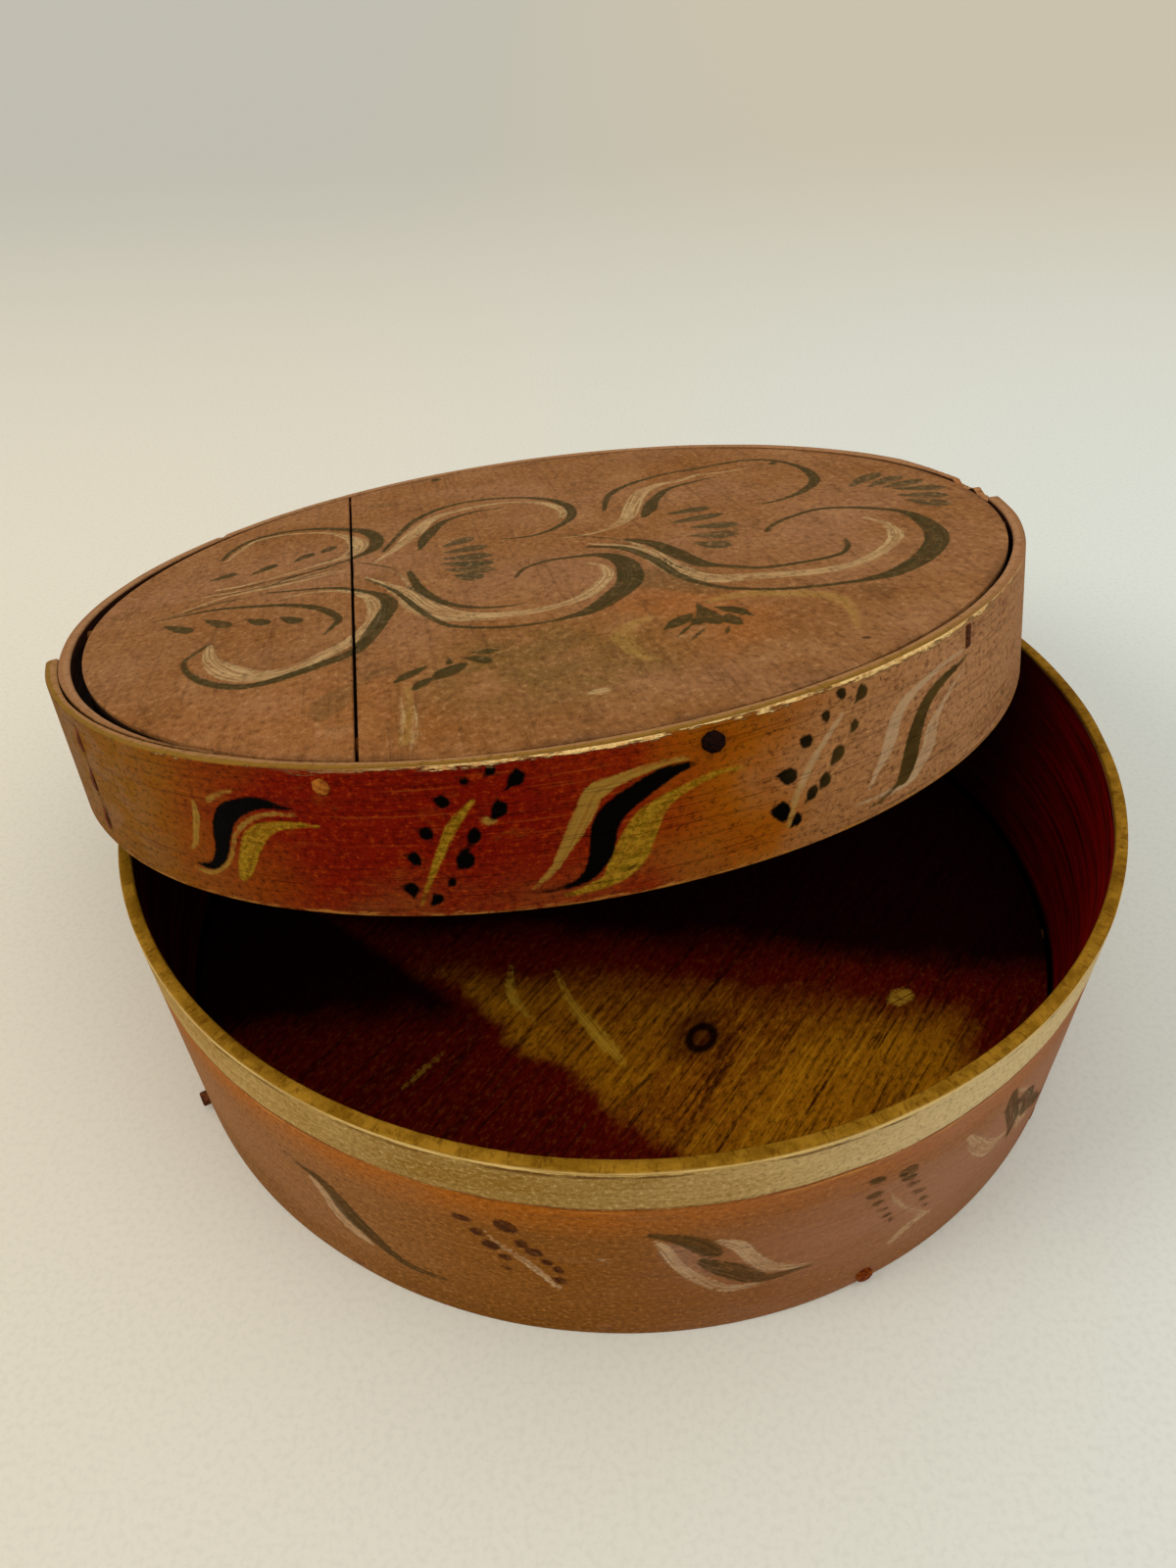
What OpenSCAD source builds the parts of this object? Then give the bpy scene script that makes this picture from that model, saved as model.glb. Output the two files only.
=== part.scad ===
// Round bentwood box with a lift-off lid, the lid lying ajar over the back of the box.
// The origin is the middle of the box's underside, +Z is up and the opening shows on the -Y side.

/* [Box] */
// Outside diameter of the box at its rim
box_d = 300; // [260:5:340]
// Height of the box
box_h = 80; // [70:1:95]
// Thickness of the box's bent wall
box_wall = 3.8; // [3:0.2:4.6]
// How much closer to the middle the wall stands at its foot than at its rim
box_lean = 2; // [0:0.5:4]
// Thickness of the floor board
floor_t = 8; // [7:0.5:11]
// How far the floor board has shrunk back from the wall on each side, across its grain
floor_shrink = 1.6; // [0.4:0.2:3]

/* [Lid] */
// Outside diameter of the lid
lid_d = 314; // [272:2:356]
// Height of the lid's bent rim
lid_h = 40; // [34:1:48]
// Thickness of the lid's bent rim
lid_wall = 3.8; // [3:0.2:4.6]
// Thickness of the two lid boards
board_t = 8.5; // [7.5:0.5:10]
// How far the boards lie below the top edge of the rim
board_sunk = 0.5; // [0:0.1:1.5]
// How far the large board has shrunk back from the rim
large_shrink = 1.4; // [0.4:0.2:4]
// How far the small board has shrunk back from the rim
small_shrink = 6.4; // [0.4:0.2:8]
// Distance from the lid's middle to the joint between the boards
joint_from_middle = 60.5; // [40:0.5:80]
// Open width of the joint between the boards
joint_gap = 1; // [0.4:0.1:2]

/* [Lid lying ajar] */
// Way that the lid has slid back, counted from +X towards +Y
slid_az = 111.6; // [100:0.2:120]
// How far the lid has slid back
slid_by = 69.9; // [65:0.1:75]
// How far the lid leans down at its back
lid_tilt = 14.1; // [12:0.1:16]
// Air left between the lid and the box where they touch
rest_gap = 0.35; // [0.2:0.05:0.6]

/* [Laps, lacing and pegs] */
// Angle of the lid rim's outer lap end, counted from +X towards +Y
lid_lap_az = -161; // [-180:1:180]
// Angle of the box wall's outer lap end
box_lap_az = 62; // [-180:1:180]
// Open width of the seam between the two layers of a lap
seam = 0.4; // [0.3:0.05:0.6]
// Width of the root strand that laces a lap
root_w = 2.4; // [2:0.1:3]
// Thickness of the root strand
root_t = 1.2; // [1:0.1:1.6]
// Diameter of a wooden peg
peg_d = 5; // [4:0.2:5.6]
// How deep the pegs reach in from the face of the band
peg_reach = 22; // [20:1:26]

/* [Hidden] */
$fn = 180;
box_r = box_d / 2;
lid_r = lid_d / 2;
lid_bore_r = lid_r - lid_wall;
foot_r = box_r - box_lean;
foot_bore_r = foot_r - box_wall;
overcut = 1;
fit = 0.05;

// The boards' grain runs along the joint, so they shrink towards each other across it
grain_az = 10.3;
floor_grain_az = -18;
along_gap = 0.3;

// A lap, with its outer end at angle 0: the outer layer stands out and dies away in swell_sweep degrees
lap_sweep = 46;
swell_sweep = 49;
swell_shift = 4.2;
swell_az = -29;
swell_end = 0.15;
scarf_shift = 9.4;
scarf_az = -14;
seam_start = 0.3;

// Running stitches through a lap, along one upright row
lace_az = 20.5;
stitch = 6;
groove_deep = 1;
lid_stitch_count = floor((lid_h - 9) / stitch);
box_stitch_count = floor((box_h - 25) / stitch);
lid_lace_top = -4;
box_lace_top = box_h - 10;

// Lid pegs sit half way down the boards, and the box's pegs half way up the floor
lid_peg_z = -board_sunk - board_t / 2;
box_peg_z = floor_t / 2;
lid_peg_angles = [-8, 25, 57, 90, 124, 157, -173];
box_peg_angles = [-121, -94, -37, -8, 22, 49, 118, 147, 178];
pale_peg_az = -106;
pale_peg_d = 5.6;
pale_peg_out = 0.4;
dark_peg_az = -73;
dark_peg_w = 5.6;
dark_peg_out = 2.2;
flat_peg_az = -42.6;
flat_peg_w = 3.6;
flat_peg_h = 6.4;
left_peg_az = -150.7;
left_peg_out = 3;
front_peg_az = -66.6;
front_peg_out = 1.2;

// The boards' underside lies on the outer edge of the box's back wall, so this gives the lid's height
lean_s = sin(lid_tilt);
lean_c = cos(lid_tilt);
under = board_sunk + board_t;
back_reach = (box_r - slid_by + lean_s * under) / lean_c;
lid_z = box_h + lean_s * back_reach + lean_c * under + rest_gap;

paint_red = "#8f4420";
board_brown = "#a06a4b";
inside_brown = "#5f3a1c";
root_brown = "#3b2418";
peg_brown = "#7c4a2c";

// A point at radius r and angle az, and the radius of a shifted circle that passes through it
function at(r, az) = [r * cos(az), r * sin(az)];
function through(r, az, shift, shift_az) = norm(at(r, az) - at(shift, shift_az));
// Radius at angle az of a circle of radius r whose middle is shifted
function shifted_r(r, az, shift, shift_az) =
    let (off = az - shift_az) shift * cos(off) + sqrt(r * r - pow(shift * sin(off), 2));

function swell_r(r) = through(r + swell_end, swell_sweep, swell_shift, swell_az);
function lap_face_r(r) = shifted_r(swell_r(r), lace_az, swell_shift, swell_az);

// Puts what is drawn round the middle of the lid's top edge onto the box, slid back and leaning
module lie_on_box() {
    rotate([0, 0, slid_az - 90]) translate([0, slid_by, lid_z]) rotate([-lid_tilt, 0, 0])
        rotate([0, 0, 90 - slid_az]) children();
}

// A wedge from the middle outwards, from angle from_az over sweep degrees
module wedge(h, from_az, sweep, reach) {
    linear_extrude(h)
        polygon([[0, 0], at(reach, from_az), at(reach, from_az + sweep / 2), at(reach, from_az + sweep)]);
}

// A disc whose edge leans in by lean over the height h down from its top radius r, run past both ends
module leaning_disc(r, h, lean, past) {
    slope = lean / h;
    translate([0, 0, -past]) cylinder(h = h + 2 * past, r1 = r - lean - slope * past, r2 = r + slope * past);
}

// A wall bent from one strip whose ends lap, with the outside radius r at its top
module lapped_wall(r, h, wall, lean, lap_az) {
    rotate([0, 0, lap_az]) union() {
        difference() {
            leaning_disc(r, h, lean, 0);
            leaning_disc(r - wall, h, lean, overcut);
            translate([0, 0, -overcut]) wedge(h + 2 * overcut, 0, swell_sweep, 1.5 * r);
        }
        difference() {
            intersection() {
                translate(at(swell_shift, swell_az)) leaning_disc(swell_r(r), h, lean, 0);
                wedge(h, 0, swell_sweep, 1.5 * r);
            }
            leaning_disc(r - wall, h, lean, overcut);
            lap_seam(r, h, lean);
        }
    }
}

// The seam between the layers, from the outer end's inside to the inner end's outside
module lap_seam(r, h, lean) {
    seam_r = through(r + seam_start, 0, scarf_shift, scarf_az);
    intersection() {
        translate(at(scarf_shift, scarf_az)) difference() {
            leaning_disc(seam_r + seam, h, lean, overcut);
            leaning_disc(seam_r, h, lean, 2 * overcut);
        }
        translate([0, 0, -overcut]) wedge(h + 2 * overcut, -3, lap_sweep + 3, 1.5 * r);
    }
}

// How far a leaning wall stands in at height z, and the height of a lacing row's pass number i
function inset(z, lean, h) = lean * (h - z) / h;
function pass_z(z_top, i) = z_top - i * stitch - root_t;

// The groove and the slots that the lacing lies in: count stitches, the first one's top at z_top
module lace_room(r, wall, h, lean, z_top, count) {
    face = lap_face_r(r);
    rotate([0, 0, lace_az]) for (i = [0 : count]) {
        z = pass_z(z_top, i);
        in = inset(z, lean, h);
        translate([r - wall - in - groove_deep, -root_w / 2 - fit, z - fit])
            cube([face - r + wall + groove_deep, root_w + 2 * fit, root_t + 2 * fit]);
        translate([face - in - groove_deep, -root_w / 2 - fit, z - fit])
            cube([2 * groove_deep, root_w + 2 * fit, (i > 0 ? stitch : 0) + root_t + 2 * fit]);
    }
}

// One root strand sewn in and out: outside stitches lie in the groove, inside ones on the inner face
module lacing(r, wall, h, lean, z_top, count) {
    face = lap_face_r(r);
    rotate([0, 0, lace_az]) union() for (i = [0 : count]) {
        z = pass_z(z_top, i);
        in = inset(z, lean, h);
        translate([r - wall - in - root_t, -root_w / 2, z])
            cube([face - r + wall + 2 * root_t - groove_deep, root_w, root_t]);
        if (i > 0)
            translate([i % 2 == 1 ? face - in - groove_deep + fit : r - wall - in - root_t - fit, -root_w / 2, z])
                cube([root_t, root_w, stitch + root_t]);
    }
}

// A round peg or its hole, from radius r_face inwards, standing out by out
module round_peg(az, z, r_face, d, out) {
    rotate([0, 0, az]) translate([r_face - peg_reach, 0, z]) rotate([0, 90, 0])
        cylinder(h = peg_reach + out, d = d, $fn = 48);
}

// A whittled peg with flat sides, or its hole
module flat_peg(az, z, r_face, w, h, out) {
    rotate([0, 0, az]) translate([r_face - peg_reach, -w / 2, z - h / 2]) cube([peg_reach + out, w, h]);
}

module lid_peg_holes() {
    for (az = lid_peg_angles) round_peg(az, lid_peg_z, lid_r, peg_d + 2 * fit, overcut);
    round_peg(pale_peg_az, lid_peg_z, lid_r, pale_peg_d + 2 * fit, overcut);
    flat_peg(dark_peg_az, lid_peg_z, lid_r, dark_peg_w + 2 * fit, dark_peg_w + 2 * fit, overcut);
    flat_peg(flat_peg_az, lid_peg_z, lid_r, flat_peg_w + 2 * fit, flat_peg_h + 2 * fit, overcut);
}

module box_peg_holes() {
    for (az = concat(box_peg_angles, [left_peg_az, front_peg_az]))
        round_peg(az, box_peg_z, foot_r, peg_d + 2 * fit, 4 * overcut);
}

// The outline of a board that has shrunk across its grain: two arcs drawn in towards the middle
module shrunk_disc(r, h, lean, shrink_low, shrink_high) {
    intersection() {
        translate([shrink_low, 0, 0]) leaning_disc(r, h, lean, 0);
        translate([-shrink_high, 0, 0]) leaning_disc(r, h, lean, 0);
    }
}

module lid_boards() {
    rotate([0, 0, grain_az]) translate([0, 0, -under])
        shrunk_disc(lid_bore_r - along_gap, board_t, 0, small_shrink, large_shrink);
}

// The half of the lid on one side of the joint: side is 1 for the large board, -1 for the small one
module joint_side(side) {
    far = 2 * lid_r;
    rotate([0, 0, grain_az]) translate([-joint_from_middle + side * joint_gap / 2, 0, -under - overcut])
        translate([side > 0 ? 0 : -far, -far / 2, 0]) cube([far, far, board_t + 2 * overcut]);
}

module box_band() {
    color(paint_red) difference() {
        lapped_wall(box_r, box_h, box_wall, box_lean, box_lap_az);
        rotate([0, 0, box_lap_az]) lace_room(box_r, box_wall, box_h, box_lean, box_lace_top, box_stitch_count);
        box_peg_holes();
    }
}

module box_floor() {
    rise = box_lean * floor_t / box_h;
    color(inside_brown) difference() {
        rotate([0, 0, floor_grain_az])
            shrunk_disc(foot_bore_r + rise - along_gap, floor_t, rise, floor_shrink, floor_shrink);
        box_peg_holes();
    }
}

module box_lap_lacing() {
    color(root_brown) rotate([0, 0, box_lap_az])
        lacing(box_r, box_wall, box_h, box_lean, box_lace_top, box_stitch_count);
}

module box_pegs() {
    color(peg_brown) for (az = box_peg_angles) round_peg(az, box_peg_z, foot_r, peg_d, 0);
}

module box_peg_left() {
    color(root_brown) round_peg(left_peg_az, box_peg_z, foot_r, peg_d, left_peg_out);
}

module box_peg_front() {
    color(paint_red) round_peg(front_peg_az, box_peg_z, foot_r, peg_d, front_peg_out);
}

module lid_band() {
    color(paint_red) lie_on_box() difference() {
        translate([0, 0, -lid_h]) lapped_wall(lid_r, lid_h, lid_wall, 0, lid_lap_az);
        rotate([0, 0, lid_lap_az]) lace_room(lid_r, lid_wall, lid_h, 0, lid_lace_top, lid_stitch_count);
        lid_peg_holes();
    }
}

module lid_board_large() {
    color(board_brown) lie_on_box() difference() {
        intersection() {
            lid_boards();
            joint_side(1);
        }
        lid_peg_holes();
    }
}

module lid_board_small() {
    color(board_brown) lie_on_box() difference() {
        intersection() {
            lid_boards();
            joint_side(-1);
        }
        lid_peg_holes();
    }
}

module lid_lap_lacing() {
    color(root_brown) lie_on_box() rotate([0, 0, lid_lap_az])
        lacing(lid_r, lid_wall, lid_h, 0, lid_lace_top, lid_stitch_count);
}

module lid_pegs() {
    color(peg_brown) lie_on_box() for (az = lid_peg_angles) round_peg(az, lid_peg_z, lid_r, peg_d, 0);
}

module lid_peg_pale() {
    color("tan") lie_on_box() round_peg(pale_peg_az, lid_peg_z, lid_r, pale_peg_d, pale_peg_out);
}

module lid_peg_dark() {
    color(root_brown) lie_on_box() flat_peg(dark_peg_az, lid_peg_z, lid_r, dark_peg_w, dark_peg_w, dark_peg_out);
}

module lid_peg_flat() {
    color(peg_brown) lie_on_box() flat_peg(flat_peg_az, lid_peg_z, lid_r, flat_peg_w, flat_peg_h, 0);
}

box_band();
box_floor();
box_lap_lacing();
box_pegs();
box_peg_left();
box_peg_front();
lid_band();
lid_board_large();
lid_board_small();
lid_lap_lacing();
lid_pegs();
lid_peg_pale();
lid_peg_dark();
lid_peg_flat();
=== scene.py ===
# %% [markdown]
# # A painted bentwood box
#
# A bentwood box is two thin strips of wood, each steamed and bent into a ring. The ends of a strip lap
# and are sewn with split root, and flat boards are pegged into the rings as the floor and the lid. This
# lesson dresses the measured model of such a box. The measured model says where everything is, and what
# is made here says how it looks: worn edges, old paint, grain and brushed ornament.

# %% Loading the measured model
import bpy
import bmesh
import numpy as np
from math import cos, sin, radians, degrees, atan2, hypot, sqrt, pi
from mathutils import Matrix, Vector, noise


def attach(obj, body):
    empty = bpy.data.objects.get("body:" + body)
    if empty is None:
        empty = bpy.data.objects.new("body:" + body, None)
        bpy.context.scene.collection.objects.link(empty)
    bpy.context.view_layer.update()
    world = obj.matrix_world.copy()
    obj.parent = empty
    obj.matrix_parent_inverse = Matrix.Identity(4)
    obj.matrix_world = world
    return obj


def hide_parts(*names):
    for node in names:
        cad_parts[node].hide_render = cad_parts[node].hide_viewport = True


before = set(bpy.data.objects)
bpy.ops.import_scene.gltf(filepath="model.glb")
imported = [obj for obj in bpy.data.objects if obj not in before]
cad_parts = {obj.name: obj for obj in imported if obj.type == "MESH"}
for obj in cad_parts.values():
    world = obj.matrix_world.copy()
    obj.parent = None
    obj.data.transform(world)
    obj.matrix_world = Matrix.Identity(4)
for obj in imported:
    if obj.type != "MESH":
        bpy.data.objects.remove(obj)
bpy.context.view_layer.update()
print("measured parts:", sorted(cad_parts))

# %% [markdown]
# ## Sizes
#
# The sizes are the measured model's own, in millimetres, so every new piece fits where the plain one was.
# The lid lies slid back and leaning on the box, which is one turn and one move for all of its pieces.

# %% Sizes in millimetres
MM = 0.001
BOX_R, BOX_H, BOX_WALL, BOX_LEAN, FLOOR_T = 150, 80, 3.8, 2, 8
LID_R, LID_H, LID_WALL, BOARD_T, BOARD_SUNK = 157, 40, 3.8, 8.5, 0.5
SLID_AZ, SLID_BY, LID_TILT, REST_GAP = 111.6, 69.9, 14.1, 0.35
LID_LAP_AZ, BOX_LAP_AZ = -161, 62
GRAIN_AZ, FLOOR_GRAIN_AZ, FLOOR_LINES_AZ = 10.3, -18, -36
LEAST_GAP, FRONT_GAP, RIGHT_GAP, LEFT_GAP, FLOOR_SHRINK = 0.55, 0.6, 0.8, 2.5, 0.3
JOINT_X, JOINT_GAP = -60.5, 1
PEG_D, PEG_REACH, PEG_DOME, LID_PEGS_Z, BOX_PEGS_Z = 5, 22, 0.35, -4.75, 4
LID_LACES, BOX_LACES, LACE_PITCH = (-4, 5), (BOX_H - 10, 9), 6
LID_CELLS, BOX_CELLS, LID_BOARD_CELLS, FLOOR_CELLS = 1.05, 1.4, 344, 240
TABLE_HALF = 8

under = BOARD_SUNK + BOARD_T
lean_s, lean_c = sin(radians(LID_TILT)), cos(radians(LID_TILT))
lid_z = BOX_H + lean_s * (BOX_R - SLID_BY + lean_s * under) / lean_c + lean_c * under + REST_GAP


def turn(degrees_, axis):
    return Matrix.Rotation(radians(degrees_), 4, axis)


on_box = (turn(SLID_AZ - 90, "Z") @ Matrix.Translation((0, SLID_BY * MM, lid_z * MM))
          @ turn(-LID_TILT, "X") @ turn(90 - SLID_AZ, "Z"))
print("the middle of the lid's top is at", [round(c, 4) for c in on_box.translation])

# %% [markdown]
# ## The camera
#
# The camera stands where the photographer stood, close and looking 40 degrees down through a wide lens,
# which is what makes the near side of the box so large. It was found by fitting the outlines of the rim,
# the foot and the lid.

# %% Camera
CAMERA_AT = (-9.3, -288.0, 307.06)
CAMERA_DOWN, CAMERA_ROLL = 0.704, 0.0377
LENS = 27.0

camera = bpy.data.objects.new("camera", bpy.data.cameras.new("camera"))
camera.data.lens = LENS
camera.data.sensor_width = 36
camera.data.clip_start = 0.01
camera.matrix_world = (Matrix.Translation([c * MM for c in CAMERA_AT])
                       @ Matrix.Rotation(pi / 2 - CAMERA_DOWN, 4, "X")
                       @ Matrix.Rotation(-CAMERA_ROLL, 4, "Z"))
bpy.context.scene.collection.objects.link(camera)
bpy.context.scene.camera = camera
print("camera turned", [round(degrees(a), 2) for a in camera.rotation_euler])

# %% [markdown]
# ## From bmesh to a finished piece
#
# Every piece is built round the origin in millimetres, as it would lie on the bench. Before it is put in
# its place, each point's bench position is kept in an attribute called made_at. Grain and paint are drawn
# on that attribute, so they follow the piece wherever it goes.

# %% Finishing a piece


def finish_piece(bm, name, body, material, node, turned=0, keep=None):
    """Puts a piece made on the bench in its place, turned about the box's or the lid's middle."""
    if keep is None:
        keep = [tuple(v.co) for v in bm.verts]
    place = on_box @ turn(turned, "Z") if body == "lid" else turn(turned, "Z")
    bmesh.ops.transform(bm, matrix=place @ Matrix.Scale(MM, 4), verts=bm.verts[:])
    mesh = bpy.data.meshes.new(name)
    bm.to_mesh(mesh)
    bm.free()
    mesh.shade_smooth()
    keep_layer(mesh, "made_at", keep)
    piece = bpy.data.objects.new(name, mesh)
    bpy.context.scene.collection.objects.link(piece)
    mesh.materials.append(material)
    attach(piece, body)
    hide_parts(node)
    print(name, "has", len(mesh.polygons), "faces")
    return mesh


def keep_layer(mesh, name, values):
    """Keeps three numbers for each point of a mesh."""
    layer = mesh.attributes.new(name, "FLOAT_VECTOR", "POINT")
    layer.data.foreach_set("vector", np.array(values, np.float32).ravel())


def smooth_noise(x, y, z=0.0):
    return noise.noise(Vector((x, y, z)))

# %% [markdown]
# ## A strip bent round and lapped
#
# On the real box the wall is one strip. Its outer end lies over its inner end, both ends are shaved to a
# long slope, and the seam between the two layers shows on the top edge. The strip is made here the same
# way: a flat grid gets its thickness with solidify, and then every point is bent round to its place. The
# seam is two slightly shifted circles, as in the measured model.

# %% The two faces of a lapped strip
LAP_SWEEP, SWELL_SWEEP, SWELL_SHIFT, SWELL_AZ, SWELL_END = 46, 49, 4.2, -29, 0.15
SCARF_SHIFT, SCARF_AZ, SEAM_START, SEAM = 9.4, -14, 0.3, 0.4
FEATHER = 0.3


def at(r, az):
    return np.array([r * cos(radians(az)), r * sin(radians(az))])


def through(r, az, shift, shift_az):
    return float(np.linalg.norm(at(r, az) - at(shift, shift_az)))


def shifted_r(r, az, shift, shift_az):
    off = radians(az - shift_az)
    return shift * cos(off) + sqrt(r * r - (shift * sin(off)) ** 2)


def outer_face(r, wall, turned):
    """Radius of a strip's outside, turned degrees on from its outer end."""
    if turned > 360:
        seam_r = through(r + SEAM_START, 0, SCARF_SHIFT, SCARF_AZ)
        return min(r, max(r - wall + FEATHER, shifted_r(seam_r, turned - 360, SCARF_SHIFT, SCARF_AZ)))
    if turned < SWELL_SWEEP + 6:
        swell = through(r + SWELL_END, SWELL_SWEEP, SWELL_SHIFT, SWELL_AZ)
        return max(r, shifted_r(swell, turned, SWELL_SHIFT, SWELL_AZ))
    return r


def inner_face(r, wall, turned):
    """Radius of a strip's inside. Near its outer end the strip stands a little away from the layer below."""
    if turned < LAP_SWEEP:
        seam_r = through(r + SEAM_START, 0, SCARF_SHIFT, SCARF_AZ)
        lift = -0.9 * max(0, 1 - turned / 16)
        return max(r - wall, shifted_r(seam_r + SEAM + lift, turned, SCARF_SHIFT, SCARF_AZ))
    return r - wall

# %% [markdown]
# The lid is no longer quite round. Its boards shrank across the grain, and at the left end, near the lap,
# the rim followed them inwards by 4 to 5 mm. Where the lid's lower edge rests on the box, its inner side
# stayed where it was.

# %% Where the rim was drawn in
DRAWN_IN, DRAWN_AZ, LIFTED_END = 4.5, -172, 0.8


def soft_step(value, low, high):
    t = min(1, max(0, (value - low) / (high - low)))
    return t * t * (3 - 2 * t)


def drawn_in(az):
    """How far inwards the lid's rim has gone at this azimuth."""
    past = (az - DRAWN_AZ + 180) % 360 - 180
    return DRAWN_IN * (1 - soft_step(past, 5, 66)) * (1 - soft_step(-past, 10, 95))


def lid_bore(az):
    return LID_R - LID_WALL - drawn_in(az)


def lid_face(az):
    return outer_face(LID_R, LID_WALL, (az - LID_LAP_AZ) % 360) - drawn_in(az)


print("the rim is drawn in by", [round(drawn_in(az), 1) for az in (180, -90, 0, 90)], "mm at four places")

# %% Bending a strip
EDGE_ROWS = [0, 0.25, 0.7, 1.4]
LACE_AZ, LACE_HALF, GROOVE = 20.5, 1.35, 1.0


def rows_between(low, high, spacing):
    """Heights from low to high, with closer rows at both edges for their worn rounding."""
    edge = EDGE_ROWS[-1]
    count = round((high - low - 2 * edge) / spacing)
    middle = np.linspace(low + edge, high - edge, count + 1)[1:-1]
    return [low + e for e in EDGE_ROWS] + list(middle) + [high - e for e in reversed(EDGE_ROWS)]


def columns_of(r, spacing):
    """Angles along a strip, with closer columns at its outer end and at the lacing."""
    step = degrees(spacing / r)
    end = 360 + LAP_SWEEP - 3
    cuts = [0, 0.15, 0.4, 0.8] + list(np.arange(0.8 + step, LACE_AZ - 0.7, step))
    cuts += list(np.arange(LACE_AZ - 0.7, LACE_AZ + 0.7, 0.1))
    return cuts + list(np.linspace(LACE_AZ + 0.75, end, round((end - LACE_AZ) / step)))


def arris(away, radius):
    """How far a worn edge has drawn back at this distance from the edge."""
    if away >= radius:
        return 0
    return radius - sqrt(max(0, radius ** 2 - (radius - away) ** 2))


def bend_strip(r, wall, low, high, lean, lap_az, spacing, lace_rows, top_wear, pulled=None):
    rows, columns = rows_between(low, high, spacing), columns_of(r, spacing)
    bm = bmesh.new()
    bmesh.ops.create_grid(bm, x_segments=len(columns) - 1, y_segments=len(rows) - 1, size=1)
    bmesh.ops.solidify(bm, geom=bm.faces[:], thickness=1)
    bm.verts.ensure_lookup_table()
    heights = [v.co.z for v in bm.verts]
    middle = (min(heights) + max(heights)) / 2
    kept = []
    for v in bm.verts:
        turned = columns[round((v.co.x + 1) / 2 * (len(columns) - 1))]
        z = rows[round((v.co.y + 1) / 2 * (len(rows) - 1))]
        outside = v.co.z < middle
        az = lap_az + turned
        drop = top_wear(az % 360)
        from_top, from_foot = high - z, z - low
        round_x, round_y = cos(radians(az)), sin(radians(az))
        worn = 0.7 + 0.3 * smooth_noise(round_x * 9, round_y * 9)
        thick = outer_face(r, wall, turned) - inner_face(r, wall, turned)
        pull = min(arris(from_top, worn) + arris(from_foot, 0.6), 0.45 * thick)
        wave = 0.16 * smooth_noise(round_x * 5, round_y * 5, z * 0.03) - 0.16
        if outside:
            radius = outer_face(r, wall, turned) - pull + wave - arris(turned * r * pi / 180, 1.3)
            side = abs(turned - LACE_AZ) * r * pi / 180
            if side < LACE_HALF and lace_rows[0] < z < lace_rows[1]:
                radius -= GROOVE * min(1, (LACE_HALF - side) / 0.3)
        else:
            radius = inner_face(r, wall, turned) + pull * 0.8 - wave * 0.5
        radius -= lean * (high - z) / (high - low)
        if pulled:
            radius -= pulled(az) * (1 if outside else soft_step(from_foot, 0, 18))
            radius += LIFTED_END * (1 - soft_step(turned, 4, 22)) * outside
            if not outside:
                radius = min(radius, outer_face(r, wall, turned) - pulled(az) - 0.45)
        share = max(0, (z - low) / (high - low) - 0.6) / 0.4
        z -= drop * share
        kept.append((radians(turned) * r, z, 0.0 if outside else 1.0))
        v.co = (*at(radius, az), z)
    bmesh.ops.recalc_face_normals(bm, faces=bm.faces[:])
    return bm, kept

# %% [markdown]
# ## Boards
#
# The boards are square grids whose points are moved on to a disc, so the cells stay nearly even from the
# middle to the edge. Old boards shrink across their grain, so the disc is two arcs drawn in towards the
# middle, and a dark gap opens at both sides. A board is cut from the disc with bisect_plane, given its
# thickness by extruding its edge down, and its top arris is bevelled as years of handling would.

# %% Making a board


def floor_edge(az):
    """Two arcs drawn in towards the middle."""
    r = BOX_R - BOX_LEAN - BOX_WALL - 0.35
    return sqrt(r * r - (FLOOR_SHRINK * sin(az)) ** 2) - FLOOR_SHRINK * abs(cos(az))


def lid_edge(az):
    """The lid boards' outline: close to the rim along the grain, with gaps across it, widest at the left."""
    gap = LEAST_GAP + FRONT_GAP * max(0, cos(az + radians(118))) + RIGHT_GAP * max(0, cos(az))
    if cos(az) < 0:
        gap += LEFT_GAP * max(0, cos(1.35 * (pi - abs(az)))) ** 1.3
    return lid_bore(degrees(az) + GRAIN_AZ) - gap


def round_board(edge_r, cells):
    """A sheet of square cells moved on to a round outline. edge_r gives the outline's radius at an angle."""
    bm = bmesh.new()
    bmesh.ops.create_grid(bm, x_segments=cells, y_segments=cells, size=1)
    for v in bm.verts:
        x = v.co.x * sqrt(1 - v.co.y ** 2 / 2)
        y = v.co.y * sqrt(1 - v.co.x ** 2 / 2)
        az = atan2(y, x)
        reach = hypot(x, y) * edge_r(az)
        v.co = (reach * cos(az), reach * sin(az), 0)
        v.co.z = 0.14 * smooth_noise(v.co.x * 0.03, v.co.y * 0.008)
    return bm


def thicken_board(bm, top, thickness, wear):
    """Extrudes the rim of the sheet down to a flat underside, closes it and wears its upper arris."""
    bmesh.ops.translate(bm, vec=(0, 0, top), verts=bm.verts[:])
    rim = [e for e in bm.edges if e.is_boundary]
    side = bmesh.ops.extrude_edge_only(bm, edges=rim)["geom"]
    low = [g for g in side if isinstance(g, bmesh.types.BMVert)]
    for v in low:
        v.co.z = top - thickness
    foot = [e for e in bm.edges if e.is_boundary]
    bmesh.ops.contextual_create(bm, geom=foot)
    bmesh.ops.recalc_face_normals(bm, faces=bm.faces[:])
    bmesh.ops.bevel(bm, geom=rim, offset=wear, segments=2, affect="EDGES", profile=0.5, material=-1)
    return bm

# %% [markdown]
# ## Pegs and lacing
#
# Pegs are whittled, so no two are alike: each starts as a cone with a few sides, its head is inset and
# domed, and noise takes the evenness out of it. The lacing is one strand of split root sewn in and out
# through the lap: a flat round ring of points is carried along the sewing line and the rings are bridged.

# %% Making pegs and lacing


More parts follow.
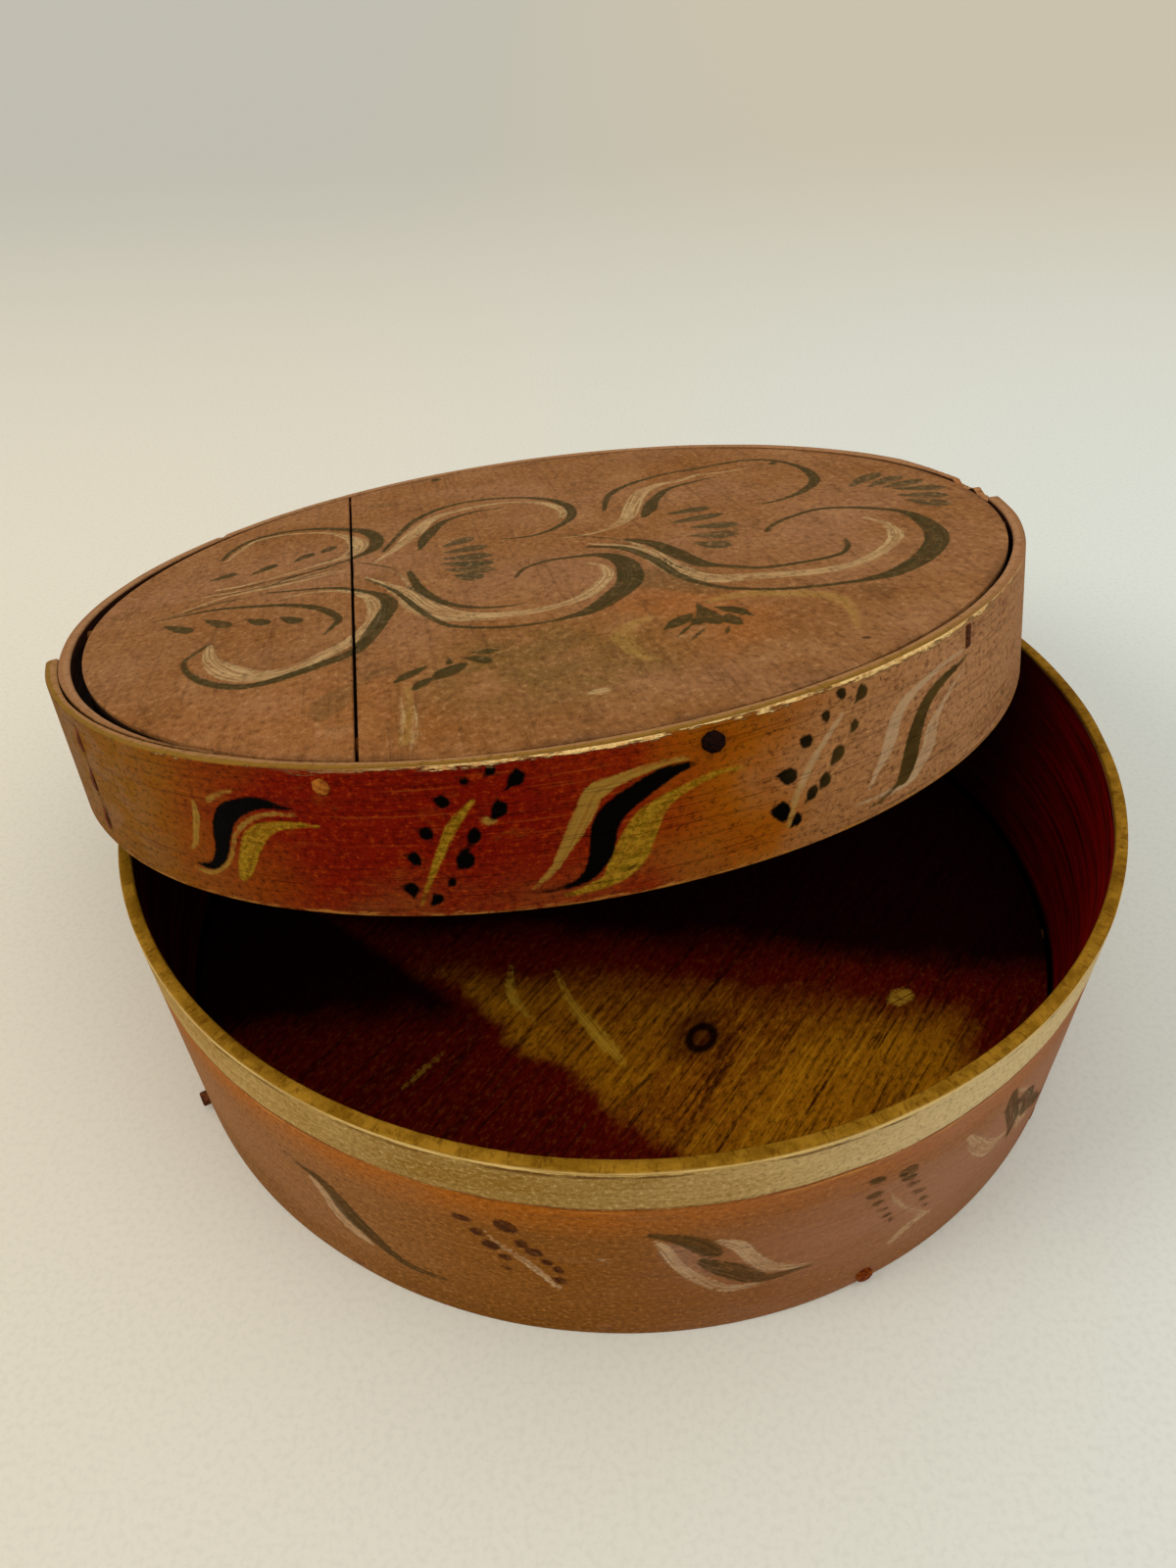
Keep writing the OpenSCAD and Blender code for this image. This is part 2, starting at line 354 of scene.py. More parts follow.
def peg(bm, az, z, face_r, width, height, out, sides, seed):
    """Adds one peg to bm, its head out beyond face_r."""
    depth = PEG_REACH + out
    made = bmesh.ops.create_cone(bm, cap_ends=True, segments=sides, radius1=0.5, radius2=0.5, depth=1)
    made = made["verts"]
    head = [f for f in bm.faces if f.verts[0] in made and all(v.co.z > 0 for v in f.verts)]
    ring = bmesh.ops.inset_region(bm, faces=head, thickness=0.09, depth=0.0)["faces"]
    made = list({v for v in made} | {v for f in ring + head for v in f.verts})
    for v in made:
        turn_by = pi / sides if sides == 4 else 0.3 * seed
        x, y = v.co.x * cos(turn_by) - v.co.y * sin(turn_by), v.co.x * sin(turn_by) + v.co.y * cos(turn_by)
        scale = 1 if sides > 4 else 1.414
        inner = hypot(x, y) < 0.45 and v.co.z > 0
        jitter = 1 + 0.1 * smooth_noise(x * 3 + seed, y * 3, v.co.z)
        reach = (v.co.z + 0.5) * depth - (0 if inner or v.co.z < 0 else PEG_DOME)
        v.co = (face_r - PEG_REACH + reach, x * width * scale * jitter, y * height * scale * jitter)
    place = turn(az, "Z") @ Matrix.Translation((0, 0, z))
    bmesh.ops.transform(bm, matrix=place, verts=made)


def strand(path, width, thickness, across, sides=10):
    """A strand with an oval section along path. across is the way that its width lies."""
    bm = bmesh.new()
    rings = []
    for i, p in enumerate(path):
        before, after = path[max(i - 1, 0)], path[min(i + 1, len(path) - 1)]
        along = (after - before).normalized()
        thin = along.cross(across).normalized()
        ring = [bm.verts.new(p + across * (width / 2 * cos(a)) + thin * (thickness / 2 * sin(a)))
                for a in np.linspace(0, 2 * pi, sides, endpoint=False)]
        rings.append([bm.edges.new((ring[k], ring[(k + 1) % sides])) for k in range(sides)])
    for one, two in zip(rings, rings[1:]):
        bmesh.ops.bridge_loops(bm, edges=one + two)
    for ring in (rings[0], rings[-1]):
        bmesh.ops.contextual_create(bm, geom=ring)
    bmesh.ops.recalc_face_normals(bm, faces=bm.faces[:])
    return bm


def lacing(r, wall, high, height, lean, top, count, pulled=0):
    """The sewing line: out over one stitch, through the lap, in over the next."""
    swell = through(r + SWELL_END, SWELL_SWEEP, SWELL_SHIFT, SWELL_AZ)
    face, back = shifted_r(swell, LACE_AZ, SWELL_SHIFT, SWELL_AZ), r - wall
    across = Vector((-sin(radians(LACE_AZ)), cos(radians(LACE_AZ)), 0))
    path = []
    for i in range(count + 1):
        z = top - i * LACE_PITCH - 0.6
        drawn = lean * (high - z) / height + pulled
        ends = (face - 0.35, back + 0.1) if i % 2 else (back + 0.1, face - 0.35)
        for radius in (ends[0], ends[0] * 0.9 + ends[1] * 0.1, ends[1]):
            path.append(Vector((*at(radius - drawn, LACE_AZ), z)))
        if i < count:
            bulge = 0.35 if i % 2 == 0 else -0.35
            path.append(Vector((*at(ends[1] - drawn + bulge, LACE_AZ), z - LACE_PITCH / 2)))
    return strand(path, 2.5, 1.1, across)

# %% [markdown]
# ## Painting strokes
#
# The ornament is the common scroll painting of farm furniture: C scrolls in pairs, fans, leaf sprigs and
# S-shaped leaves, each made of a dark stroke with a pale one beside it. A stroke is a few points and a
# width. For every point of a surface the script works out how deep inside a stroke it lies, how far along
# the stroke it is and how far across. The material turns those three numbers into paint, with bristle
# marks that run along the stroke.

# %% Strokes on a surface
NOT_PAINTED, FAR_OFF = -9, -500
CURVE_STEP, LEAST_HALF_WIDTH, BRISTLE_JUMP = 0.8, 0.2, 37


def along_curve(points, spacing):
    """Points closely spaced along a smooth curve (Catmull-Rom) through a few points."""
    p = np.array(points, float)
    p = np.vstack([2 * p[0] - p[1], p, 2 * p[-1] - p[-2]])
    line = []
    for a, b, c, d in zip(p, p[1:], p[2:], p[3:]):
        steps = max(2, int(np.linalg.norm(c - b) / spacing))
        for t in np.linspace(0, 1, steps, endpoint=False):
            line.append(0.5 * ((2 * b) + (c - a) * t + (2 * a - 5 * b + 4 * c - d) * t ** 2
                               + (3 * b - a - 3 * c + d) * t ** 3))
    return np.array(line + [p[-2]])


def stroke(points, width=0, full=0.5, tail=0.12, press=1.2):
    """A brush stroke through points in mm.

    A third number at each point is the width there. Without it the stroke swells to width at full.
    """
    line = along_curve(points, CURVE_STEP)
    t = np.linspace(0, 1, len(line))
    rise = np.where(t < full, t / full, (1 - t) / (1 - full))
    half = width / 2 * (tail + (1 - tail) * np.sin(rise * pi / 2) ** press)
    if line.shape[1] == 3:
        half = np.maximum(line[:, 2] / 2, LEAST_HALF_WIDTH)
        line = line[:, :2]
    step = np.linalg.norm(np.diff(line, axis=0, prepend=line[:1]), axis=1)
    return line, half, np.cumsum(step)


def paint_strokes(surface, strokes):
    """For each surface point (x, y in mm): depth inside the paint, and place along and across its stroke."""
    out = np.tile([float(NOT_PAINTED), 0, 0], (len(surface), 1))
    for number, (line, half, length) in enumerate(strokes):
        reach = half.max() + 4
        near = np.all((surface > line.min(0) - reach) & (surface < line.max(0) + reach), axis=1)
        index = np.nonzero(near)[0]
        if len(index) == 0:
            continue
        gap = surface[index][:, None, :] - line[None, :, :]
        away = np.sqrt((gap ** 2).sum(2))
        best = (half[None, :] - away).argmax(1)
        pick = np.arange(len(index))
        depth = half[best] - away[pick, best]
        tangent = np.gradient(line, axis=0)[best]
        tangent /= np.linalg.norm(tangent, axis=1)[:, None] + 1e-9
        side = gap[pick, best]
        across = tangent[:, 0] * side[:, 1] - tangent[:, 1] * side[:, 0]
        better = depth > out[index, 0]
        out[index[better]] = np.stack([depth, length[best] + BRISTLE_JUMP * number, across], 1)[better]
    return out


def keep_paint(mesh, surface, layers):
    for name, strokes in layers.items():
        keep_layer(mesh, name, paint_strokes(surface, strokes))
    print(mesh.name, "painted with", {name: len(s) for name, s in layers.items()})

# %% [markdown]
# ## Writing finishes as sums
#
# A finish here is mostly arithmetic: how deep in a stroke, how far from the rim, how dirty. The class
# Value wraps one socket, so that arithmetic can be written as plain Python and turns into Math nodes.
# Every other node comes from the one method called node.

# %% A number that changes over a piece


def maths(operation, swapped=False):
    """A method of Value that puts its numbers into one Math node."""
    def method(value, *others):
        terms = (*others, value) if swapped else (value, *others)
        return value.finish.node("ShaderNodeMath", {"operation": operation}, dict(enumerate(terms)))
    return method


class Value:
    """A socket that can be added, multiplied and compared like a number."""

    def __init__(self, finish, socket):
        self.finish = finish
        self.socket = socket

    __add__, __radd__ = maths("ADD"), maths("ADD", swapped=True)
    __sub__, __rsub__ = maths("SUBTRACT"), maths("SUBTRACT", swapped=True)
    __mul__, __rmul__ = maths("MULTIPLY"), maths("MULTIPLY", swapped=True)
    __truediv__ = maths("DIVIDE")
    __rpow__ = maths("POWER", swapped=True)
    at_least = maths("MAXIMUM")
    wave = maths("SINE")
    size = maths("ABSOLUTE")

    def rise(self, low, high):
        """0 below low, 1 above high and a soft step between. With low above high it falls instead."""
        sockets = {0: self, 1: low, 2: high}
        return self.finish.node("ShaderNodeMapRange", {"interpolation_type": "SMOOTHSTEP"}, sockets)

    def between(self, low, full, fade, end):
        """Up from low to full, and down again from fade to end."""
        return self.rise(low, full) * self.rise(end, fade)

# %% A finish and its nodes
DARK_GRAINS = 0.5, 0.66


def square(value):
    return value * value


def paint(red, green, blue):
    """A colour as it is seen, 0 to 255, turned into the linear colour that a shader takes."""
    seen = np.array([red, green, blue]) / 255
    linear = np.where(seen <= 0.04045, seen / 12.92, ((seen + 0.055) / 1.055) ** 2.4)
    return (*map(float, linear), 1.0)


class Finish:
    """One material while it is being made. Its colour is laid in coats, one over the other."""

    def __init__(self, name, specular=0.02):
        self.material = bpy.data.materials.new(name)
        self.material.use_nodes = True
        self.tree = self.material.node_tree
        self.shader = self.tree.nodes["Principled BSDF"].inputs
        self.shader["Specular IOR Level"].default_value = specular
        self.colour = None

    def plug(self, socket, value):
        """A value is linked, a tuple is a colour as it is seen, and anything else is set as it is."""
        if isinstance(value, Value):
            self.tree.links.new(value.socket, socket)
        else:
            socket.default_value = paint(*value) if isinstance(value, tuple) else value

    def node(self, kind, settings, sockets, out=0):
        new = self.tree.nodes.new(kind)
        for setting, value in settings.items():
            setattr(new, setting, value)
        for socket, value in sockets.items():
            self.plug(new.inputs[socket], value)
        return Value(self, new.outputs[out])

    def layer(self, name="made_at"):
        """The three numbers kept on the mesh under this name, as a vector."""
        return self.node("ShaderNodeAttribute", {"attribute_name": name}, {}, out="Vector")

    def parts(self, vector=None):
        split = self.node("ShaderNodeSeparateXYZ", {}, {0: vector or self.layer()}).socket.node
        return [Value(self, out) for out in split.outputs]

    def grown(self, size, detail=3, rough=0.55, at=None):
        """Noise from 0 to 1 whose patches are about size mm, one size for each direction."""
        fitted = self.node("ShaderNodeMapping", {}, {0: at or self.layer(), 3: [1 / s for s in size]})
        sockets = {"Vector": fitted, "Scale": 1, "Detail": detail, "Roughness": rough}
        return self.node("ShaderNodeTexNoise", {}, sockets)

    def over(self, colour, below, share):
        """Paint of this colour over what is below, as thick as share says."""
        return self.node("ShaderNodeMix", {"data_type": "RGBA"}, {0: share, 6: below, 7: colour}, out=2)

    def coat(self, colour, share):
        """Lays one more coat over the colour so far."""
        self.colour = self.over(colour, self.colour, share)

    def ramp(self, value, stops):
        """Colours that follow each other as value goes from one stop's place to the next."""
        ramp = self.node("ShaderNodeValToRGB", {}, {0: value})
        elements = ramp.socket.node.color_ramp.elements
        while len(elements) < len(stops):
            elements.new(0.5)
        for stop, (position, colour) in zip(elements, stops):
            stop.position = position
            stop.color = paint(*colour)
        return ramp

    def brushed(self, name, strength, ragged=0.7, streaky=0.2, wear=1.0, soft=0.0):
        """How much paint a layer of strokes leaves: ragged edges, bristle marks and worn spots."""
        depth, along, across = self.parts(self.layer(name))
        stroke_place = self.node("ShaderNodeCombineXYZ", {}, {0: along, 1: across})
        bristle = self.grown((22, 0.75, 1), 2, at=stroke_place)
        edge = self.grown((1.6, 1.6, 1.6))
        worn = self.grown((5, 5, 5), 4, 0.7)
        cover = (depth + (edge - 0.5) * ragged).rise(-0.4 - soft, 0.35 + soft)
        thin = 1 - bristle.rise(0.6, 0.36) * streaky
        return cover * thin * (1 - worn.rise(0.46, 0.28) * wear) * strength

    def close(self, roughness, height, depth_mm):
        """Plugs the finished colour, roughness and relief into the shader."""
        self.plug(self.shader["Base Color"], self.colour)
        self.plug(self.shader["Roughness"], roughness)
        bump = self.node("ShaderNodeBump", {}, {"Strength": 1, "Distance": depth_mm * MM, "Height": height})
        self.plug(self.shader["Normal"], bump)
        print(self.material.name, "has", len(self.tree.nodes), "nodes")
        return self.material

# %% [markdown]
# ## Old terracotta paint on the lid boards
#
# The lid was painted red long ago and has faded to a dusty terracotta. The paint is thin, so the straight
# grain shows through it as faint streaks along the boards. Handling has left brown shadows, a warmer
# patch near the front and a fine leathery surface. The ornament is worn the most where the lid was
# touched the most.

# %% The finish of the lid boards
DIRTY_EDGE = 148, 152.5
board = Finish("faded_terracotta")
x, y, z = board.parts()
broad = board.grown((70, 60, 40), 3)
blotch = board.grown((22, 26, 20), 4, 0.6)
streak = board.grown((2.2, 90, 8), 3)
stipple = board.grown((1.8, 2.8, 1.8), 5, 0.8)
board.colour = board.ramp(broad, [(0.32, (138, 86, 38)), (0.5, (146, 97, 54)), (0.68, (152, 104, 66))])
warm = (square(x - 26) / 1300 + square(y + 88) / 1500).rise(1.0, 0.1) * blotch.rise(0.3, 0.6)
board.coat((162, 92, 32), warm * 0.7)
front_left = (y + (broad - 0.5) * 90).rise(-50, -110) * x.rise(-20, -70)
board.coat((156, 94, 40), front_left * 0.5)
olive = (square(x + 6) / 2200 + square(y + 100) / 1500).rise(1.1, 0.1) * blotch.rise(0.3, 0.58)
board.coat((118, 88, 40), olive * 0.7)
board.coat((104, 66, 34), streak.rise(0.54, 0.72) * 0.3)
board.coat((166, 118, 76), streak.rise(0.42, 0.25) * 0.22)
board.coat((104, 68, 32), blotch.rise(0.52, 0.72) * 0.55)
board.coat((174, 126, 80), blotch.rise(0.48, 0.28) * 0.4)
olive_paint = board.brushed("olive_paint", 0.6, 1.6, 0.5, 0.5, 0.5)
board.coat((166, 128, 58), olive_paint)
dusk = board.brushed("dusk_paint", 0.5, 2.5, 0.2, 0.6, 1.0)
board.coat((98, 72, 34), dusk)
fan_paint = board.brushed("fan_paint", 0.95, 1.4, 0.5, 0.0, 0.2)
board.coat((64, 60, 32), fan_paint)
pale_paint = board.brushed("pale_paint", 0.85, 1.2, 0.75)
board.coat((200, 164, 110), pale_paint)
dark_paint = board.brushed("dark_paint", 0.95, 1.0, 0.15, 0.4)
board.coat((56, 50, 16), dark_paint)
board.coat((76, 42, 14), stipple.rise(*DARK_GRAINS) * 0.55)
board.coat((200, 146, 94), stipple.rise(0.48, 0.32) * 0.48 * (1 - dark_paint * 0.7))
rim_dirt = (square(x) + square(y)).rise(*[r ** 2 for r in DIRTY_EDGE]) * blotch.rise(0.35, 0.6)
board.coat((92, 60, 36), rim_dirt * 0.5)
side = z.rise(-1.2, -2.0)
board.coat((52, 34, 22), side)
grainy = board.grown((2.2, 3.4, 2.2), 3, 0.6)
height = (stipple * 0.5 + grainy * 0.6 + blotch * 0.5 - streak.rise(0.5, 0.8) * 0.35 + dark_paint * 0.25
          + pale_paint * 0.4)
roughness = 0.6 + stipple * 0.16 + side * 0.1
terracotta = board.close(roughness, height, 1.3)

# %% [markdown]
# ## Red paint on the lid's rim
#
# The rim kept more of its paint than the boards, and its colour wanders from golden ochre at the lap to
# brick red at the front and a paler pinkish tan at the right. That paler right side is partly the paint's
# own fading and partly painted sheen, the bright room reflected in it. The upper arris is where hands take
# hold, so it is rubbed through the paint to cream wood in a ragged line. The inside was never painted.

# %% Helpers for the bent strips


def bare_wood(finish, dark, light, size):
    """Darkened bare wood with its grain along the first direction of size."""
    fibre = finish.grown(size, 4, 0.6)
    cloud = finish.grown([s * 9 for s in size])
    return finish.over(light, dark, fibre.rise(0.38, 0.68) * cloud.rise(0.3, 0.7)), fibre


def never_painted(inside, around):
    """The inside of a strip, and the end of it that lies hidden under the lap."""
    return inside.rise(0.75, 0.95).at_least(around.rise(1, 1.004))


def colour_stops(colours, lap_az):
    """Stops for a ramp that goes from 0 at the strip's outer end to 1 a whole turn on."""
    return [((az - lap_az) / 360, seen) for az, seen in colours]

# %% The finish of the lid's rim
RIM_WANDER = 60
rim = Finish("brick_red_rim")
arc, z, inside = rim.parts()
cloud = rim.grown((42, 26, 30), 4, 0.6)
blotch = rim.grown((16, 8, 12), 4, 0.65)
streak = rim.grown((46, 1.3, 8), 3)
stipple = rim.grown((1.9, 1.5, 1.5), 4, 0.8)
length = 2 * pi * LID_R
around = arc / length
turned = (arc + (cloud - 0.5) * RIM_WANDER) / length
# From about -62 degrees round to the right the colours are paler and pinker, partly as painted sheen.
RIM_COLOURS = [(-161, (124, 84, 40)), (-142, (124, 84, 28)), (-130, (128, 80, 10)), (-121, (124, 60, 6)),
               (-110, (110, 15, 0)), (-92, (106, 11, 0)), (-80, (118, 28, 1)), (-70, (146, 78, 4)),
               (-62, (158, 106, 60)), (-46, (168, 118, 76)), (0, (162, 112, 68)), (60, (140, 80, 40)),
               (110, (132, 60, 22)), (150, (124, 74, 32)), (198, (124, 84, 40))]
rim.colour = rim.ramp(turned, colour_stops(RIM_COLOURS, LID_LAP_AZ))
rim.coat((84, 20, 2), blotch.rise(0.52, 0.75) * 0.4)
rim.coat((146, 78, 14), blotch.rise(0.44, 0.25) * 0.35)
patch = blotch.rise(0.46, 0.56) * around.between(-0.01, 0.004, 0.06, 0.11)
rim.coat((140, 106, 76), patch * 0.4)
low = z.rise(-22, -38) * cloud.rise(0.35, 0.65)
rim.coat((120, 74, 30), low * 0.4)
rim.coat((74, 16, 3), streak.rise(0.57, 0.74) * 0.3)
rim.coat((184, 104, 30), streak.rise(0.4, 0.28) * 0.2)
rim.coat((44, 4, 0), stipple.rise(*DARK_GRAINS) * 0.66)
# From about -65 degrees round to the right, freckles, pale strokes and dark ink turn paler, partly as
# painted sheen.
freckle = rim.over((206, 152, 96), (170, 66, 6), turned.rise(0.25, 0.29))
rim.coat(freckle, stipple.rise(0.47, 0.32) * 0.5)
olive_paint = rim.brushed("olive_paint", 0.85, 0.8, 0.3, 0.5)
olive = rim.over((112, 88, 6), (158, 122, 26), stipple.rise(0.42, 0.58))
rim.coat(olive, olive_paint)
pale_paint = rim.brushed("pale_paint", 0.85, 1.2, 0.35, 0.7)
beige = rim.over((182, 150, 112), (148, 114, 42), turned.rise(0.25, 0.29))
rim.coat(beige, pale_paint)
dark_paint = rim.brushed("dark_paint", 1.0, 0.9, 0.0, 0.0)
faded_and_sheen = turned.rise(0.26, 0.3) * (0.65 + blotch.rise(0.35, 0.6) * 0.35)
ink = rim.over((78, 58, 22), (2, 1, 0), faded_and_sheen)
rim.coat(ink, dark_paint)
edge_noise = rim.grown((5, 1.1, 3), 5, 0.75)
handled = around.between(0.13, 0.21, 0.32, 0.40)
bare = edge_noise.rise(0.56, 0.66) * around.between(0.02, 0.06, 0.4, 0.5)
bitten = rim.grown((14, 2.4, 4), 4, 0.7)
rubbed = (z + (edge_noise - 0.5) * 4 + (bitten - 0.5) * 5).rise(-1.25, -0.7) * z.rise(-0.05, -0.25)
rubbed = rubbed * handled.at_least(bare * 0.6) * (0.45 + bitten.rise(0.3, 0.5) * 0.55)
on_face = rubbed * inside.rise(0.14, 0.02)
cream = rim.over((238, 200, 130), (206, 156, 92), stipple.rise(0.42, 0.56))
rim.coat(cream, on_face)
lower = (z - (edge_noise - 0.5) * 5.0).rise(-38.6, -39.6) * blotch.rise(0.4, 0.55)
rim.coat((176, 116, 48), lower * 0.8)
top = z.rise(-0.6, -0.15).at_least(inside.rise(0.02, 0.08) * z.rise(-1.0, -0.4))
turned_top = around.rise(0.3, 0.37)
old_gold = rim.over((150, 104, 64), (134, 96, 32), turned_top)
pinkish = rim.over((162, 116, 76), (158, 112, 66), turned_top)
painted_top = rim.over(pinkish, old_gold, (edge_noise * 0.6 + inside * 0.5).rise(0.42, 0.6))
painted_top = rim.over((84, 50, 14), painted_top, stipple.rise(*DARK_GRAINS) * 0.5)
rim.coat(painted_top, top * (1 - on_face))
wood, _ = bare_wood(rim, (34, 14, 8), (74, 40, 22), (40, 1.6, 8))
within = never_painted(inside, around) * z.rise(-0.3, -1.2)
rim.coat(wood, within)
rim.coat((110, 70, 36), arc.rise(0.5, 0.1) * 0.5)
height = stipple * 0.6 + blotch * 0.5 - streak.rise(0.5, 0.75) * 0.5 - rubbed * 0.8 + dark_paint * 0.3
roughness = 0.56 + stipple * 0.14 + rubbed * 0.1 + within * 0.15
brick_red = rim.close(roughness, height, 0.8)

# %% [markdown]
# ## The box's wall
#
# A khaki band runs round under the rim, above a scored line that was cut in before painting, with a painted
# highlight along that line's lower lip. Below it the wall was red, now orange close under the band and
# browner towards the foot. Round the wall it is darkest at the front and paler and pinker at the sides:
# partly the paint's own variation, partly painted shade at the front and painted sheen at the sides. The
# khaki band also has painted shade at the front and painted light at the right. Its ornament has nearly
# gone. The wood split a little just below the arris, and dirt sits in that crack.

# %% The finish of the box's wall
KHAKI_BAND, CRACK_BELOW, WALL_WANDER = 16, 2.3, 90
wall = Finish("khaki_band_and_brown_wall")
arc, z, inside = wall.parts()
cloud = wall.grown((60, 22, 30), 4, 0.6)
blotch = wall.grown((18, 9, 12), 4, 0.65)
streak = wall.grown((60, 1.5, 8), 3)
stipple = wall.grown((1.5, 1.3, 1.5), 4, 0.8)
below_top = BOX_H - z
hand = wall.grown((30, 60, 30), 3)
line = below_top - KHAKI_BAND - (hand - 0.5) * 2.6
# Darkest at the front, paler and pinker at the sides: partly the paint's own variation, partly painted shade
# at the front and painted sheen at the sides.
WALL_COLOURS = [(62, (136, 86, 44)), (120, (142, 94, 52)), (170, (142, 90, 44)), (205, (150, 104, 66)),
                (232, (144, 96, 54)), (256, (132, 80, 26)), (276, (122, 70, 4)), (290, (134, 82, 30)),
                (306, (148, 102, 66)), (325, (156, 108, 78)), (370, (146, 94, 54)), (422, (136, 86, 44))]
length = 2 * pi * BOX_R
around = arc / length
turned = (arc + (cloud - 0.5) * WALL_WANDER) / length
wall.colour = wall.ramp(turned, colour_stops(WALL_COLOURS, BOX_LAP_AZ))
glow = line.rise(17, 1) * (0.55 + blotch.rise(0.3, 0.65) * 0.45)
wall.coat((172, 92, 8), glow * 0.75)
foot = z.rise(30, 3) * cloud.rise(0.3, 0.6)
wall.coat((116, 70, 14), foot * 0.6)
wall.coat((100, 58, 22), blotch.rise(0.54, 0.78) * 0.4)
wall.coat((162, 110, 64), blotch.rise(0.44, 0.25) * 0.28)
wall.coat((104, 64, 34), streak.rise(0.56, 0.74) * 0.25)
body = wall.brushed("body_paint", 0.5, 2.5, 0.6, 0.8, 1.0)
wall.coat((150, 120, 100), body)
pale_paint = wall.brushed("pale_paint", 0.8, 2.2, 0.7, 1.0)
wall.coat((190, 158, 118), pale_paint)
dark_paint = wall.brushed("dark_paint", 0.92, 1.4, 0.3, 0.5, 0.1)
red_ink = around.between(0.524, 0.527, 0.566, 0.57)
ink = wall.over((50, 14, 2), (62, 46, 14), red_ink)
wall.coat(ink, dark_paint)
wall.coat((54, 26, 6), stipple.rise(*DARK_GRAINS) * 0.5)
wall.coat((206, 142, 78), stipple.rise(0.48, 0.32) * 0.42 * (1 - dark_paint * 0.8))
# A painted pinkish sheen on the unpainted parts of the right side.
sheen_at_right = around.between(0.55, 0.64, 0.8, 0.9)
unpainted = (1 - dark_paint) * (1 - pale_paint)
wall.coat((160, 110, 84), sheen_at_right * (0.3 + cloud.rise(0.35, 0.6) * 0.3) * unpainted)
khaki = wall.ramp(cloud, [(0.3, (156, 120, 54)), (0.5, (178, 144, 82)), (0.7, (158, 120, 50))])
drip = wall.grown((9, 60, 9), 4, 0.65)
khaki = wall.over((124, 92, 34), khaki, blotch.rise(0.52, 0.74) * 0.5)
khaki = wall.over((150, 98, 36), khaki, drip.rise(0.56, 0.76) * 0.5)
khaki = wall.over((190, 158, 96), khaki, streak.rise(0.46, 0.3) * 0.4)
# Painted shade on the band at the front, and a strong painted light on it at the right.
khaki = wall.over((118, 78, 6), khaki, around.between(0.47, 0.52, 0.56, 0.62) * 0.4)
khaki = wall.over((214, 188, 138), khaki, around.between(0.57, 0.68, 0.85, 0.95) * 0.85)
khaki = wall.over((100, 70, 12), khaki, stipple.rise(*DARK_GRAINS) * 0.5)
khaki = wall.over((222, 190, 128), khaki, stipple.rise(0.5, 0.32) * 0.5)
wall.coat(khaki, (line + stipple - 0.5).rise(0.5, -0.3))
broken = wall.grown((26, 4, 9), 3, 0.7)
scored = (line - 0.3).size().rise(0.85, 0.2) * broken.rise(0.36, 0.54)
wall.coat((104, 44, 6), scored * 0.6)
# A painted highlight along the lower lip of the scored line.
scored_lip_highlight = (line - 1.3).size().rise(0.9, 0.2) * broken.rise(0.5, 0.6)
wall.coat((206, 140, 66), scored_lip_highlight * 0.5)
crack_at = below_top - CRACK_BELOW - (hand - 0.5) * 1.6
crack = (crack_at + (stipple - 0.5) * 0.8).size().rise(0.7, 0.2) * broken.rise(0.45, 0.56)
wall.coat((96, 56, 10), crack * broken.rise(0.4, 0.6) * 0.8)
edge_noise = wall.grown((9, 0.9, 3), 4, 0.7)
rubbed = (below_top + (edge_noise - 0.5) * 3.4).rise(1.9, 1.2) * inside.rise(0.3, 0.05)
wall.coat((222, 186, 112), rubbed * (0.3 + broken.rise(0.35, 0.6) * 0.6))
top = (inside.rise(0.02, 0.1) * below_top.rise(1.6, 0.9)).at_least(below_top.rise(0.9, 0.35))
ochre = wall.over((156, 112, 28), (118, 80, 10), edge_noise.rise(0.35, 0.65))
ochre = wall.over((84, 50, 2), ochre, stipple.rise(*DARK_GRAINS) * 0.65)
wall.coat(ochre, top)
# The inside's dark bare wood is partly its own colour and partly painted shade for the inside of the box.
wood, fibre = bare_wood(wall, (40, 6, 2), (86, 22, 8), (46, 1.8, 8))
# A painted patch of light on the inner wall at the right, and nearly black painted shade low on the inner
# wall where it meets the floor.
painted_light_patch = around.between(0.7, 0.76, 0.82, 0.88)
wood = wall.over((170, 12, 8), wood, painted_light_patch * fibre.rise(0.7, 0.3) * 0.9)
wood = wall.over((3, 0, 0), wood, z.rise(11.5, 9.5))
within = never_painted(inside, around) * below_top.rise(0.5, 1.8)
wall.coat(wood, within)
height = (stipple * 0.6 + blotch * 0.5 - streak.rise(0.5, 0.75) * 0.4 - scored * 0.4 - crack * 0.6
          + dark_paint * 0.25)
roughness = 0.56 + stipple * 0.14 + within * 0.15
khaki_wall = wall.close(roughness, height, 0.75)

# %% [markdown]
# ## Bare wood of the floor
#
# The floor is softwood that was never painted. Its yearly rings show as fine lines, which flow round one
# small knot. Its pale gold middle is a painted pool of the lamp's light, the dark red round it is partly its
# own stain and partly painted shade, and the nearly black parts towards the lid and the wall are painted
# shadow.

# %% The finish of the floor
floor = Finish("bare_floor")
x, y, z = floor.parts()
KNOT_X, KNOT_Y = 54, -35
from_knot = square(x - KNOT_X) + square(y - KNOT_Y) / 1.8
flow = floor.grown((26, 110, 30), 3)
rings = (x * 2.1 + flow * 44 + 22 * 2.718 ** (from_knot / -90)).wave()
fibre = floor.grown((1.1, 26, 5), 4, 0.65)
cloud = floor.grown((46, 60, 30), 4, 0.6)
stain = floor.grown((16, 24, 12), 4, 0.65)
uneven = (stain - 0.5) * 22 + (cloud - 0.5) * 16
